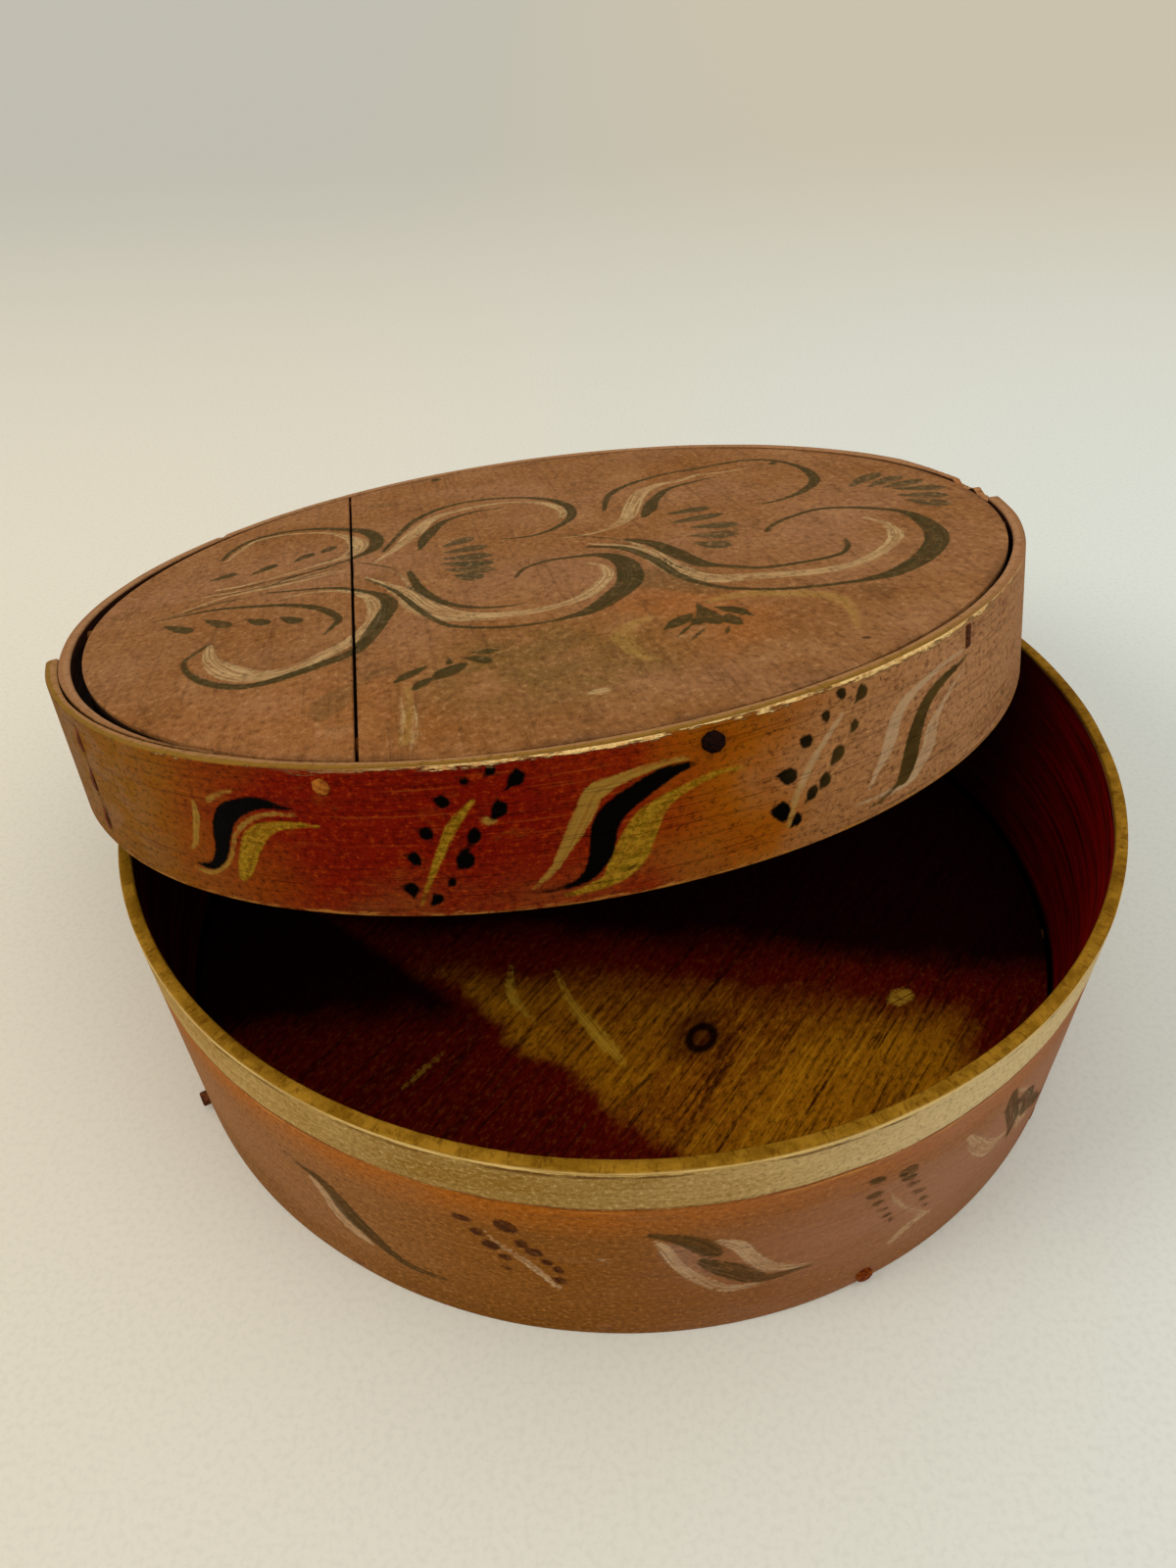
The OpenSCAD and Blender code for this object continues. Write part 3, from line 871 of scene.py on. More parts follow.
# Lines that bound the painted pool of light: at the front, along the lid's shadow at the back, and at the
# right.
from_edge = x * 0.09 + y + 66
from_lid_shadow = x * 0.46 - y * 0.89 - 24 + uneven
painted_light_pool = (from_edge + uneven).rise(-3, 5)
painted_light_pool = painted_light_pool * from_lid_shadow.rise(6, 26) * (x * -0.94 - y * 0.35 + 121 + uneven).rise(-6, 8)
painted_light_share = painted_light_pool * (0.62 + cloud.rise(0.62, 0.35) * 0.38)
# Painted light: gold in the pool of light, dark red round it.
floor.colour = floor.over((176, 112, 10), (92, 8, 3), painted_light_share)
floor.coat((104, 26, 3), cloud.rise(0.54, 0.7) * 0.5)
floor.coat((56, 14, 2), rings.rise(0.5, 1.0) * fibre.rise(0.3, 0.6) * 0.3)
floor.coat((40, 4, 1), fibre.rise(0.5, 0.68) * 0.8)
floor.coat((214, 152, 26), fibre.rise(0.46, 0.26) * painted_light_share * 0.8)
grit = floor.grown((1.4, 3.2, 1.6), 4, 0.8)
floor.coat((26, 3, 0), grit.rise(*DARK_GRAINS) * 0.65)
floor.coat((206, 132, 24), grit.rise(0.49, 0.32) * (0.12 + painted_light_share * 0.5))
# Painted shadow, nearly black, of the wall and of the lid.
wall_shadow = (x * 0.66 - y * 0.75 - 45 + uneven).rise(4, -14) * (1 - painted_light_pool) * from_edge.rise(2, -6)
painted_shadow = from_lid_shadow.rise(4, -16).at_least(wall_shadow)
floor.coat((8, 1, 0), painted_shadow * 0.9)
knot = from_knot.between(2, 9, 16, 30)
halo = from_knot.rise(150, 20) * stain.rise(0.38, 0.58)
floor.coat((58, 10, 2), halo.at_least(from_knot.rise(16, 8)) * 0.75)
floor.coat((14, 2, 0), knot * 0.95)
pale_paint = floor.brushed("pale_paint", 0.75, 3.4, 0.7, 1.0, 0.6)
floor.coat((206, 158, 44), pale_paint)
dark_paint = floor.brushed("dark_paint", 0.75)
floor.coat((30, 12, 6), dark_paint)
height = fibre * -0.5 + rings * 0.12 + stain * 0.3
roughness = 0.6 + fibre * 0.2
bare_floor = floor.close(roughness, height, 0.3)

# %% [markdown]
# ## Pegs and root
#
# Pegs that stand out are dark with handling, and pegs that were driven flush are painted like the rim
# round them. The lacing is split root, which dries dark and fibrous.

# %% Finishes of the small parts


def small_finish(name, dark, light, size=(2.5, 0.9, 0.9), depth_mm=0.25):
    finish = Finish(name, 0.04)
    fibre = finish.grown(size, 4, 0.65)
    cloud = finish.grown((6, 6, 6))
    finish.colour = finish.over(light, dark, fibre.rise(0.35, 0.68))
    finish.coat(tuple(c * 0.6 for c in dark), cloud.rise(0.5, 0.75) * 0.6)
    return finish.close(0.55 + fibre * 0.2, fibre + cloud * 0.5, depth_mm)


painted_peg = small_finish("painted_over_pegs", (112, 66, 26), (138, 88, 44), (2.5, 1.2, 1.2), 0.2)
red_peg = small_finish("red_peg", (84, 24, 2), (142, 70, 12))
dark_peg = small_finish("dark_pegs", (4, 1, 0), (30, 8, 4))
brown_peg = small_finish("brown_peg", (58, 26, 10), (104, 56, 26))
pale_peg = small_finish("pale_peg", (116, 54, 10), (166, 100, 30), (2.5, 0.8, 0.8))
root = small_finish("split_root", (52, 20, 12), (128, 66, 34), (0.8, 0.8, 9), 0.3)

# %% [markdown]
# ## The ornament of the lid
#
# Four C scrolls and two S scrolls meet in pairs along the middle of the lid, with a fan of short strokes
# in each opening and small leaves towards the front. Every scroll is a dark stroke that swells where the
# brush was pressed, a pale one inside it and a thin dark line. The places are measured across the grain
# and along it, in mm from the middle of the lid.

# %% Scrolls on the boards


def strokes_of(text):
    """Strokes parted by semicolons and their points by commas: two numbers for the place, then the width."""
    return [[tuple(map(float, point.split())) for point in one.split(",")] for one in text.split(";")]


def layered(layers, text):
    """Pairs of a layer's name and a stroke."""
    return [(layer + "_paint", points) for layer, points in zip(layers.split(), strokes_of(text))]


DARK_SCROLLS = strokes_of("""
    -89 11 1.5, -67 3 2.2, -56 -8 2.6, -51 -16 4, -49 -27 5.6, -53 -44 5.6, -57 -57 5, -61 -65 4.8,
    -69 -70 4.6, -77 -74 4.5, -85 -77 4, -93 -76 3.8, -102 -68 3.2, -108 -57 2.2, -110 -47 1.8,
    -108 -42 1.6, -104 -34 1;
    -109 66 1.6, -106 78 2.4, -99 90 2.6, -87 94 2.8, -75 91 3.2, -63 82 4, -55 73 5, -51 60 5.5, -52 46 5,
    -57 39 3.5, -63 34 2, -71 30 1.6, -82 25 1.5, -88 20 1;
    -49 38 1.4, -41 63 2.4, -34 79 3, -22 91 3, -8 93 2.6, 7 86 2.6, 17 75 3, 22 63 3.6, 23 51 4, 20 39 3.4,
    12 29 2.4, 3 25 1.8, -9 29 1;
    -56 7 1, -47 -12 1.8, -41 -34 2.4, -35 -52 2.2, -29 -60 2, -17 -67 2, -5 -69 2, 2 -68 3, 8 -66 5.6,
    16 -58 7.6, 24 -46 8.6, 27 -30 7.6, 25 -18 5.6, 20 -12 3.5, 13 -10 2.2, 4 -9 2, -4 -13 1.8, -8 -21 1.4;
    34 43 1.5, 40 64 3, 51 77 3, 68 84 2.4, 80 84 2.2, 91 85 2.6, 103 84 2.8, 111 76 2.4, 115 64 2.4,
    116 49 3.6, 113 34 4.2, 105 23 3.8, 96 17 2.2, 89 15 1.6, 84 16 1;
    20 -1 2, 30 -10 3, 36 -28 3.4, 39 -48 3.2, 44 -61 2.4, 50 -69 2.2, 60 -76 2.2, 71 -80 2.4, 82 -82 2.6,
    88 -82 4, 94 -81 5.6, 105 -74 7, 115 -63 7.4, 121 -50 7, 123 -34 5, 121 -22 3, 111 -10 2.6, 100 -4 2.4,
    88 -8 2.2, 80 -14 2, 77 -19 2;
    -123 0 1, -114 1 1.6, -104 1 2.2, -91 -3 2.6, -81 -8 3, -73 -15 3.4, -68 -23 3.2, -65 -32 2.6,
    -67 -39 1.8, -69 -44 1;
    -41 6 2.2, -39 -13 3.2, -35 -28 3.2, -29 -39 2.4, -19 -47 1.8, -9 -49 1.2;
    -36 33 1.6, -33 47 5, -28 61 4.5, -23 69 3, -12 75 2, -1 74 1.2;
    45 25 2, 49 33 5.5, 54 46 4.5, 63 59 3, 74 63 2, 83 65 1.4;
    33 0 2, 40 -10 4.8, 44 -25 6.2, 48 -40 5.2, 53 -46 3, 63 -55 2.4, 75 -57 2.2, 83 -57 2.2, 89 -55 2,
    93 -49 1.8, 95 -42 1
""")
PALE_SCROLLS = strokes_of("""
    -104 -36 2, -102 -50 5, -95 -64 9, -86 -71 8, -77 -70 6.5, -68 -62 6, -60 -53 5.5, -54 -40 6, -53 -25 6,
    -56 -13 4, -63 -3 2.4, -73 2 1.4, -83 2 1;
    -107 63 1.2, -103 76 1.8, -97 88 1.8, -85 89 1.8, -71 82 2, -63 71 3.5, -58 58 7, -59 46 7, -64 39 3.5,
    -74 35 2, -82 31 2, -91 28 2, -99 25 1.6, -108 25 1;
    -52 26 1.2, -44 40 4, -37 56 7, -31 71 6, -23 79 4, -9 83 3.4, 6 79 3, 16 67 3.4, 20 51 4, 17 43 2;
    -56 9 1, -49 -5 3.5, -43 -19 8, -39 -34 10, -33 -46 9, -24 -53 7, -12 -57 5, 1 -56 4, 11 -50 5,
    19 -37 4.5, 20 -26 2.5, 16 -19 1.2;
    14 15 1, 26 15 2, 38 25 5, 45 43 7, 52 60 6, 61 68 4.5, 70 69 3.5, 79 73 3, 87 71 2, 99 71 1.2;
    21 2 1.2, 29 -6 3, 36 -19 6, 39 -38 8, 43 -51 8, 49 -58 7, 57 -61 6, 68 -65 6, 79 -68 5.5, 88 -67 4.5,
    97 -62 4.5, 105 -54 4.5, 110 -46 5, 112 -34 3, 109 -23 1.5
""")
LEAVES = strokes_of("""
    -50 -95 1.2, -46 -91 4.4, -41 -87 0.8;
    -45 -102 2, -43 -99 4, -41 -96.5 1.5;
    -39 -97 2.4, -36 -94 6.8, -32 -91 3.2;
    -35 -83 0.4, -35 -88 2;
    -31 -86 1.2, -27.5 -88 3.6, -25.5 -91 3.8, -25 -92 2;
    -28 -83 1.2, -24 -84 3.2, -21 -85 0.8;
    24 -92 1.2, 29 -88 5.6, 33 -84 1.6;
    33 -89 2.4, 33 -91 3.6, 33 -93 1.6;
    37 -76 0.5, 37 -82 3.2, 37 -89 6.8, 38 -94 3.2;
    42 -90 2.4, 42 -94 4.8, 43 -98 2;
    41 -82 1.2, 45 -87 4.4, 48 -94 0.8
""")
OLIVE_STROKES = strokes_of("""
    22 -81 3, 16 -84 5, 12 -92 6, 13 -106 4, 17 -114 1.5;
    40 -77 2, 47 -75 5, 54 -76 6, 62 -81 5, 70 -88 5, 73 -94 4, 73 -101 3.4, 71 -109 2, 69 -116 1;
    -47 -100 1.5, -47 -110 2, -48 -123 2.8, -49 -135 2.8
""")
FAINT_STROKES = strokes_of("""
    -58 -90 2, -56 -85 3, -51 -84 2;
    -60 -90 3, -65 -97 9, -68 -105 9, -69 -110 4;
    -54 117 2, -46 112 5, -37 109 2
""")
FAN_STROKES = strokes_of("""
    -27 31, -17 37; -27 23, -13 22; -28 15, -13 10; -29 9, -13 0; -28 1, -14 -8; -26 -7, -19 -14; 54 23,
    68 22; 52 11, 70 11; 57 1, 71 -5; 54 -9, 67 -16; 53 -18, 61 -27; 121 18, 136 30; 126 13, 140 20; 130 9,
    144 10; 132 5, 146 -4; 130 -4, 142 -14; 130 -12, 138 -25
""")
TEARS = strokes_of("""
    -122 -6, -111 -19; -109 -7, -99 -20; -95 -14, -87 -24; -84 -18, -77 -28; -112 38, -102 43; -97 37,
    -88 46; -82 44, -75 53; -72 51, -67 57
""")
THIN_LINES = [
    ([(-128, -2), (-116, 4), (-102, 9), (-86, 8)], 1.4, 0.5),
    ([(-60, 31), (-80, 27), (-107, 21), (-121, 23)], 1.4, 0.3),
    ([(-63, 28), (-86, 20), (-116, 16), (-124, 16)], 1.2, 0.3),
    ([(-63, 34), (-55, 26), (-46, 14), (-38, 8)], 1.3, 0.5),
    ([(2, 27), (14, 20), (27, 6), (38, -6)], 1.3, 0.5),
    ([(-45, -3), (-38, -23), (-31, -40)], 1.1, 0.5), ([(38, -22), (42, -42), (51, -55)], 1.1, 0.5),
    ([(35, -95), (27, -105)], 1.4), ([(40, -98), (37, -105)], 1.4), ([(32, -91), (25, -100)], 1.4),
    ([(109, 73), (112, 73)], 2.5), ([(67, -123), (69, -125)], 1.6), ([(-24, 145.5), (-20, 144.5)], 4.5),
    ([(108.1, 71), (110.1, 71)], 3.2),
]
PALE_LINES = [
    ([(-124, -1), (-104, 14), (-80, 18), (-62, 22)], 2.4, 0.6),
    ([(-122, 19), (-96, 19), (-76, 23), (-58, 22)], 2.2, 0.7),
    ([(-50, 16), (-44, 4), (-40, -20), (-30, -46)], 1.6, 0.4),
    ([(26, 10), (34, -4), (39, -28), (45, -50)], 1.6, 0.4),
    ([(-49, -102), (-49, -119), (-50, -133)], 1.2),
    ([(-46, -109), (-46, -122), (-47, -133), (-48, -140)], 1.8, 0.8), ([(-4, -126), (2, -126)], 4),
]
DUSK = [
    ([(22, -34), (34, -50), (44, -72)], 15, 0.4), ([(30, 91), (37, 94), (43, 84)], 3, 0.5),
]
board_layers = {
    "dark_paint": [stroke(s) for s in DARK_SCROLLS + LEAVES] + [stroke(*s) for s in THIN_LINES]
    + [stroke(s, 5, 0.78, 0.04) for s in TEARS],
    "fan_paint": [stroke(s, 7.5, 0.7, 0.25) for s in FAN_STROKES],
    "pale_paint": [stroke(s) for s in PALE_SCROLLS] + [stroke(*s) for s in PALE_LINES],
    "olive_paint": [stroke(s) for s in OLIVE_STROKES],
    "dusk_paint": [stroke(s) for s in FAINT_STROKES] + [stroke(*s) for s in DUSK],
}
print("strokes on the boards:", {name: len(s) for name, s in board_layers.items()})

# %% [markdown]
# ## The ornament of the rim and the wall
#
# Round the rim, S-shaped leaves take turns with sprigs of small seeds. The photograph shows the front,
# and the same pair simply goes on round the back, a little different each time, as a painter's hand would
# make it. The places here are an azimuth in degrees and a height in mm, as they are easy to read off a
# photograph, and a class of its own turns them into millimetres along the strip.

# %% Painting on a strip
rng = np.random.default_rng(7)


def moved(points, az, wobble):
    """The same stroke further round, drawn again by hand."""
    return [(a + az + rng.uniform(-wobble, wobble) * 0.4, z + rng.uniform(-wobble, wobble), *width)
            for a, z, *width in points]


class StripPainting:
    """The strokes on one strip, by layer. Drawn at azimuths and heights, kept in mm along the strip."""

    def __init__(self, r, lap_az):
        self.r = r
        self.lap_az = lap_az
        self.layers = {}

    def along(self, az):
        """Millimetres along the strip, from its outer end, at which this azimuth lies."""
        return radians((az - self.lap_az) % 360) * self.r

    def keep(self, layer, made):
        self.layers.setdefault(layer, []).append(made)

    def draw(self, layer, points, width=0):
        first = points[0][0]
        flat = [(self.along(first) + radians(az - first) * self.r, z, *wide) for az, z, *wide in points]
        self.keep(layer, stroke(flat, width))

    def draw_seeds(self, seeds, stem):
        """Seeds of a sprig: the brush is set down, turned and lifted off, which leaves two corners."""
        stem_az, stem_z, _ = zip(*reversed(stem))
        for az, z, width in seeds:
            x = self.along(az)
            on_right = az > np.interp(z, stem_z, stem_az)
            tails = [(-0.55, -0.6), (0.05, 0.55)] if on_right else [(-0.65, 0.3), (0.05, -0.65)]
            for tail in tails:
                dx, dz = (width * (d * 0.8 + rng.uniform(-0.12, 0.12)) for d in tail)
                self.keep("dark_paint", stroke([(x - dx * 0.25, z - dz * 0.25, width * 0.4),
                                                (x, z, width * 0.7),
                                                (x + dx * 0.5, z + dz * 0.5, width * 0.34),
                                                (x + dx, z + dz, 0.3)]))

    def draw_moved(self, pairs, az, wobble):
        for layer, points in pairs:
            self.draw(layer, moved(points, az, wobble))

# %% Leaves and sprigs of the rim
LONE_LEAVES = layered("dark pale pale pale olive dark pale pale", """
    -109.3 -11.2 0.7, -110.6 -10.7 1.4, -111.9 -10.2 2.6, -113.4 -10.3 3.5, -115.1 -11.8 4.6,
    -116.7 -14.2 5.8, -117.6 -17.4 6, -118.2 -20.8 5.4, -118.6 -24.3 4.6, -119.3 -27.8 3.4,
    -120.8 -30.8 2.2, -122.7 -31.1 0.9;
    -120.6 -12.7 1.6, -120.8 -16.3 2.4, -121.4 -20.5 2, -122.2 -25 1.6, -123 -27 0.8;
    -115.3 -7.3 0.7, -117 -8.7 1.2, -118.6 -10.9 1.5;
    -109.4 -12.6 1.1, -111.7 -12.7 1.2, -113.3 -13.8 1.2, -115.1 -16.5 1.2, -116.5 -20.1 1.2,
    -117.4 -25 1.2, -118.9 -29.7 1.4, -121.1 -32.8 1.4, -123.3 -32.8 0.9;
    -107.2 -15.4 0.7, -108.8 -15.2 1.4, -110.6 -15.6 2.1, -112.2 -16.5 3.1, -113.6 -18.5 4.8,
    -114.7 -21.4 5.7, -115.5 -24.9 5.3, -116.2 -28.4 4.6, -117 -32.1 2.6;
    -42.8 -10.1 0.8, -46 -11.6 2.3, -48.5 -13.8 3.4, -50.3 -17.9 4.6, -51.4 -23.6 5.7, -52 -28.5 6.1,
    -52.8 -32.4 4.6, -53.9 -34.1 1.5, -55.9 -36.1 1.1, -57.4 -36.5 0.6;
    -43.4 -7.5 0.8, -47.3 -8.3 1.5, -51.1 -10.5 2.3, -53.5 -14 3.8, -54.5 -19 4.6, -55.3 -23.6 3.4,
    -56.4 -27.2 1.9, -57.4 -31 0.9;
    -43.3 -13 0.8, -45.5 -16.1 1.2, -47.6 -20.1 2.3, -48.8 -24.4 4.9, -49.2 -28.1 5.3, -50.7 -32.1 3.8,
    -52.3 -34.8 2.3, -56.2 -34.7 1.2, -59.2 -33.9 0.8
""")
LEAF = layered("dark pale olive", """
    -74.2 -9.2 0.8, -76.1 -9.6 2.5, -77.8 -10.9 4.2, -79.7 -13.4 4.9, -81.6 -16.5 5.7, -82.7 -20.2 6.3,
    -83.1 -24.4 6, -83.5 -28 5.2, -84.3 -31.4 3.6, -85.6 -34 1.9, -87.5 -35.1 1.1, -89.3 -35.4 0.6;
    -75.2 -7.5 1.1, -77.2 -7.4 1.5, -79.3 -8.2 2, -81.3 -9.4 2.7, -83.2 -11.4 4.6, -84.1 -15.2 4.6,
    -85.1 -19.6 4.2, -86.3 -24.7 2.8, -87.6 -29.8 1.7, -89.5 -34.3 0.7;
    -70.2 -13.7 0.8, -72.2 -13 1.4, -74.4 -13.9 1.8, -76.3 -15.6 2.3, -77.8 -17.6 3.8, -79.2 -21.1 6.8,
    -80.1 -24.9 8, -80.8 -28.3 8.4, -81.8 -31.5 7, -82.7 -34.2 3.8, -84.5 -35.9 2.3, -86.9 -37 0.8
""")
STEM, SEEDS, SECOND_STEM, SECOND_SEEDS = strokes_of("""
    -93.2 -9.6 1.1, -95.3 -15.8 2.5, -97 -23.9 1.9, -98.3 -30.6 1.2, -99.4 -36.5 0.8;
    -89.3 -5.1 5.2, -91.3 -2.6 3.6, -93.6 -4.6 3.2, -91.1 -12.3 5.2, -93.6 -18.6 5, -94.7 -24.7 6.2,
    -96.2 -30.5 3.2, -95.7 -9.3 4.6, -97.6 -17.2 4.8, -99.1 -23.7 4.6, -99.9 -32 4.8, -97.8 -35 4;
    -60.3 -8.1 1, -62.3 -13.4 1.6, -63.9 -18.4 1.8, -65.6 -26.1 2, -66.4 -32.2 1.4;
    -60.4 -3 4, -58.1 -4.8 5, -62.1 -7.2 3.6, -59 -12.6 3.6, -64.2 -12 5, -60.9 -18 5.4, -66.1 -19.4 6,
    -62.4 -23.8 5, -63.8 -25.8 4.4, -67 -27.9 6.5, -65.5 -31.7 4
""")
SCARS = [([(-139.4, -22.2), (-139.8, -35.5)], 1.2), ([(-31.1, -18.2), (-31.8, -25.2)], 0.9),
         ([(-33.5, -28.7), (-32.9, -32.4)], 1.2), ([(-32.2, -28.9), (-32.6, -32)], 1.0),
         ([(-62.6, -24.2), (-62.2, -24.6)], 2.0), ([(-81.6, -33.0), (-80.5, -32.1)], 1.0)]
WHITE_FLECK = [(-92.9, -14.6, 0.6), (-92.3, -15, 2), (-91.6, -15.6, 0.8)]
RIM_ROUNDS, RIM_STEP, RIM_WOBBLE = 6, 40, 0.9

on_rim = StripPainting(LID_R, LID_LAP_AZ)
for layer, points in LONE_LEAVES + [("pale_paint", SECOND_STEM)]:
    on_rim.draw(layer, points)
on_rim.draw_seeds(SECOND_SEEDS, SECOND_STEM)
on_rim.draw("pale_paint", WHITE_FLECK)
for points, width in SCARS:
    on_rim.draw("dark_paint", points, width)
for step in range(RIM_ROUNDS):
    go, sprig_go, wobble = 67 + RIM_STEP * step, 61 + RIM_STEP * step, RIM_WOBBLE
    if step == 0:
        go, sprig_go, wobble = 0, 0, 0
    on_rim.draw_moved(LEAF, go, wobble)
    stem = moved(STEM, sprig_go, wobble)
    on_rim.draw("olive_paint", stem)
    on_rim.draw_seeds(moved(SEEDS, sprig_go, wobble), stem)
print("strokes on the rim:", {name: len(s) for name, s in on_rim.layers.items()})

# %% [markdown]
# ## The ornament of the wall
#
# The wall has broad and narrow leaves, a sprig and a fern, all nearly rubbed away. Four groups of them go
# round it. A broad pale body under the thin strokes stands for the paint that was rubbed into the grain.

# %% Leaves and sprigs of the wall
WALL_LEAVES = layered("dark dark dark pale pale pale body pale pale pale", """
    -127.3 45.2 1, -124.8 43 2, -122.7 41.7 4, -121.2 36.9 6, -119.9 30.4 7.5, -118.1 25.5 6, -115.9 20.1 4,
    -113.7 16.6 3, -109.9 16.3 1.5;
    -89.7 52.2 2, -87.8 50.4 3.5, -85.8 47.4 5.5, -84.3 43.4 6, -83.1 39.4 2;
    -85 38.1 2, -83.4 33.8 5.5, -81.5 29.6 7, -79.9 25.4 6, -78.2 22.5 4, -76 22.3 2.5, -73.2 22.1 1;
    -124 39.9 2, -122.3 33.4 5, -121.2 26.9 6.5, -119.9 22.8 5, -118.3 19.7 2;
    -104.7 48.4 0.8, -103.8 44.3 1.4, -101.7 37.9 2, -100.2 32.7 2.2, -98.3 24.7 2;
    -89 48.7 1.5, -88.2 44.8 3, -87 36.6 3.5, -84.9 28.2 4, -82.2 21.3 3.5, -79.2 20.3 2;
    -88.3 46.6 3, -86.8 41.7 9, -85.2 36.3 8, -83.6 31.3 4;
    -83.4 46.4 2, -81.3 42.2 4.5, -80.1 36 4.5, -78.4 28.8 5, -76.1 25.2 3, -73.2 22.8 1;
    -66.1 45.6 1, -64.7 36.7 1.8, -62.4 28 2.2, -59.3 19.1 1.6;
    -60.1 19.7 2, -61.8 19.2 4, -63 17.4 4.5, -64.2 14.6 2
""")
SPRIG_SEEDS = strokes_of("""
    -107.9 52.5, -105.6 51.8, 3; -106 47.9, -104.7 45.8, 3.5; -105.1 43, -103.5 40.5, 4; -103.6 37.8,
    -102.6 36.1, 3; -103.7 31.8, -102.5 30.9, 2; -103.5 54.3, -101.6 50.1, 5; -101.6 46.7, -101 43, 3.5;
    -100.8 42.7, -99.6 40.4, 4; -99.4 38.5, -98.7 35.8, 3; -98.3 35.5, -97.9 32.5, 3; -98.4 30.1,
    -97.7 26.7, 3.5
""")
FERN_SEEDS = strokes_of("""
    -69.4 55.2, -66.8 52.3, 4; -69.1 47.7, -66.8 45.9, 4; -68.3 42.7, -66.2 41, 3; -67.4 38.1, -65.4 35.7,
    2.5; -66.7 33.8, -64.7 31.3, 2.5; -65.7 29.5, -64.1 27.4, 2.5; -65.6 52.4, -63.2 49.2, 6; -65.2 48.7,
    -62.8 45.5, 4; -64.2 43.8, -62.1 41, 3; -63.2 38.3, -60.9 34.7, 3; -62.1 32.3, -59.9 28.7, 2.5;
    -61.2 27.4, -59.3 23.8, 2
""")
LONE_STROKES = layered("dark pale pale", """
    -50.3 52.1 3.5, -49.4 44 5.6, -47.2 31.8 5.6, -46.9 24.8 3.5;
    -56.9 49.6 1.5, -54.9 41.2 5, -51.6 30.8 6.5, -48.9 27.8 5;
    -49.5 52 1, -45.9 42 2.4, -42.8 28 2, -44.5 20 1
""")
WALL_ROUNDS, WALL_STEP = 4, 76

on_wall = StripPainting(BOX_R, BOX_LAP_AZ)
for step in range(WALL_ROUNDS):
    go, wobble = WALL_STEP * step, min(step, 1)
    on_wall.draw_moved(WALL_LEAVES, go, wobble)
    for seeds, thickness in ((SPRIG_SEEDS, 1), (FERN_SEEDS, 0.8)):
        for start, end, (width,) in seeds:
            on_wall.draw("dark_paint", moved([start, end], go, wobble * 0.5), width * thickness)
for layer, points in LONE_STROKES:
    on_wall.draw(layer, points)
on_wall.draw("pale_paint", [(-94.8, 41.2), (-93, 39.7)], 1.4)
print("strokes on the wall:", {name: len(s) for name, s in on_wall.layers.items()})

# %% [markdown]
# ## Making the bent strips
#
# The rim's upper edge has lost a chip at the right of the back, where the board's own edge can be seen.
# Elsewhere it only waves a little.

# %% The lid's rim


def rim_wear(az):
    if az > 180:
        az -= 360
    gone = min(1, max(0, (az - 0.4) / 0.5)) * min(1, max(0, (12.4 - az) / 0.8))
    lump = max(0, 1 - abs(az - 6.6) / 1.5)
    thin = min(1, max(0, (az - 11.5) / 1)) * min(1, max(0, (26 - az) / 10))
    ragged = 0.35 * smooth_noise(az * 1.3, 3)
    nick = 0.7 * max(0, 1 - abs(az - 147.5) / 0.9)
    return (2.3 + ragged) * gone * (1 - 0.7 * lump) + (0.9 + ragged) * thin + nick


def wall_wear(az):
    return 0.25 + 0.25 * smooth_noise(cos(radians(az)) * 4, sin(radians(az)) * 4)


def painted_strip(bm_and_keep, name, body, material, node, layers):
    bm, keep = bm_and_keep
    mesh = finish_piece(bm, name, body, material, node, keep=keep)
    surface = np.array(keep)
    surface[surface[:, 2] > 0.5, 1] = FAR_OFF
    keep_paint(mesh, surface[:, :2], layers)


def laced_between(top, count):
    """The heights between which a lacing's groove runs."""
    return top - LACE_PITCH * count - 1.2, top + 0.6


strip = bend_strip(LID_R, LID_WALL, -LID_H, 0, 0, LID_LAP_AZ, LID_CELLS, laced_between(*LID_LACES), rim_wear,
                   drawn_in)
painted_strip(strip, "bent_lid_rim", "lid", brick_red, "lid_band", on_rim.layers)

# %% [markdown]
# ## The wall itself
#
# The wall is the same kind of strip, only higher, leaning out a little and with its lap at the back. A
# plain tube would be quicker to make, but it has no lap, no seam along the top and no lacing.

# %% The box's wall
strip = bend_strip(BOX_R, BOX_WALL, 0, BOX_H, BOX_LEAN, BOX_LAP_AZ, BOX_CELLS, laced_between(*BOX_LACES),
                   wall_wear)
painted_strip(strip, "bent_box_wall", "box", khaki_wall, "box_band", on_wall.layers)

# %% [markdown]
# ## The boards of the lid
#
# The lid is two boards that have shrunk apart along a straight joint. Both are cut from the same round
# sheet, so the outline and the painted scrolls run on across the joint as they did when it was closed.

# %% The lid boards


def lid_board(name, side, node):
    bm = round_board(lid_edge, LID_BOARD_CELLS)
    edge = JOINT_X + side * JOINT_GAP / 2
    everything = bm.verts[:] + bm.edges[:] + bm.faces[:]
    bmesh.ops.bisect_plane(bm, geom=everything, dist=0.0001, plane_co=(edge, 0, 0), plane_no=(side, 0, 0),
                           clear_inner=True)
    thicken_board(bm, -BOARD_SUNK, BOARD_T, 0.2)
    places = np.array([v.co[:2] for v in bm.verts])
    mesh = finish_piece(bm, name, "lid", terracotta, node, GRAIN_AZ)
    keep_paint(mesh, places, board_layers)


lid_board("large_lid_board", 1, "lid_board_large")
lid_board("small_lid_board", -1, "lid_board_small")

# %% [markdown]
# ## The floor
#
# The floor is one board, with its grain turned away from the lid's. The scratches on it and the paint that
# was spilt there are strokes too, so the same brush draws them.

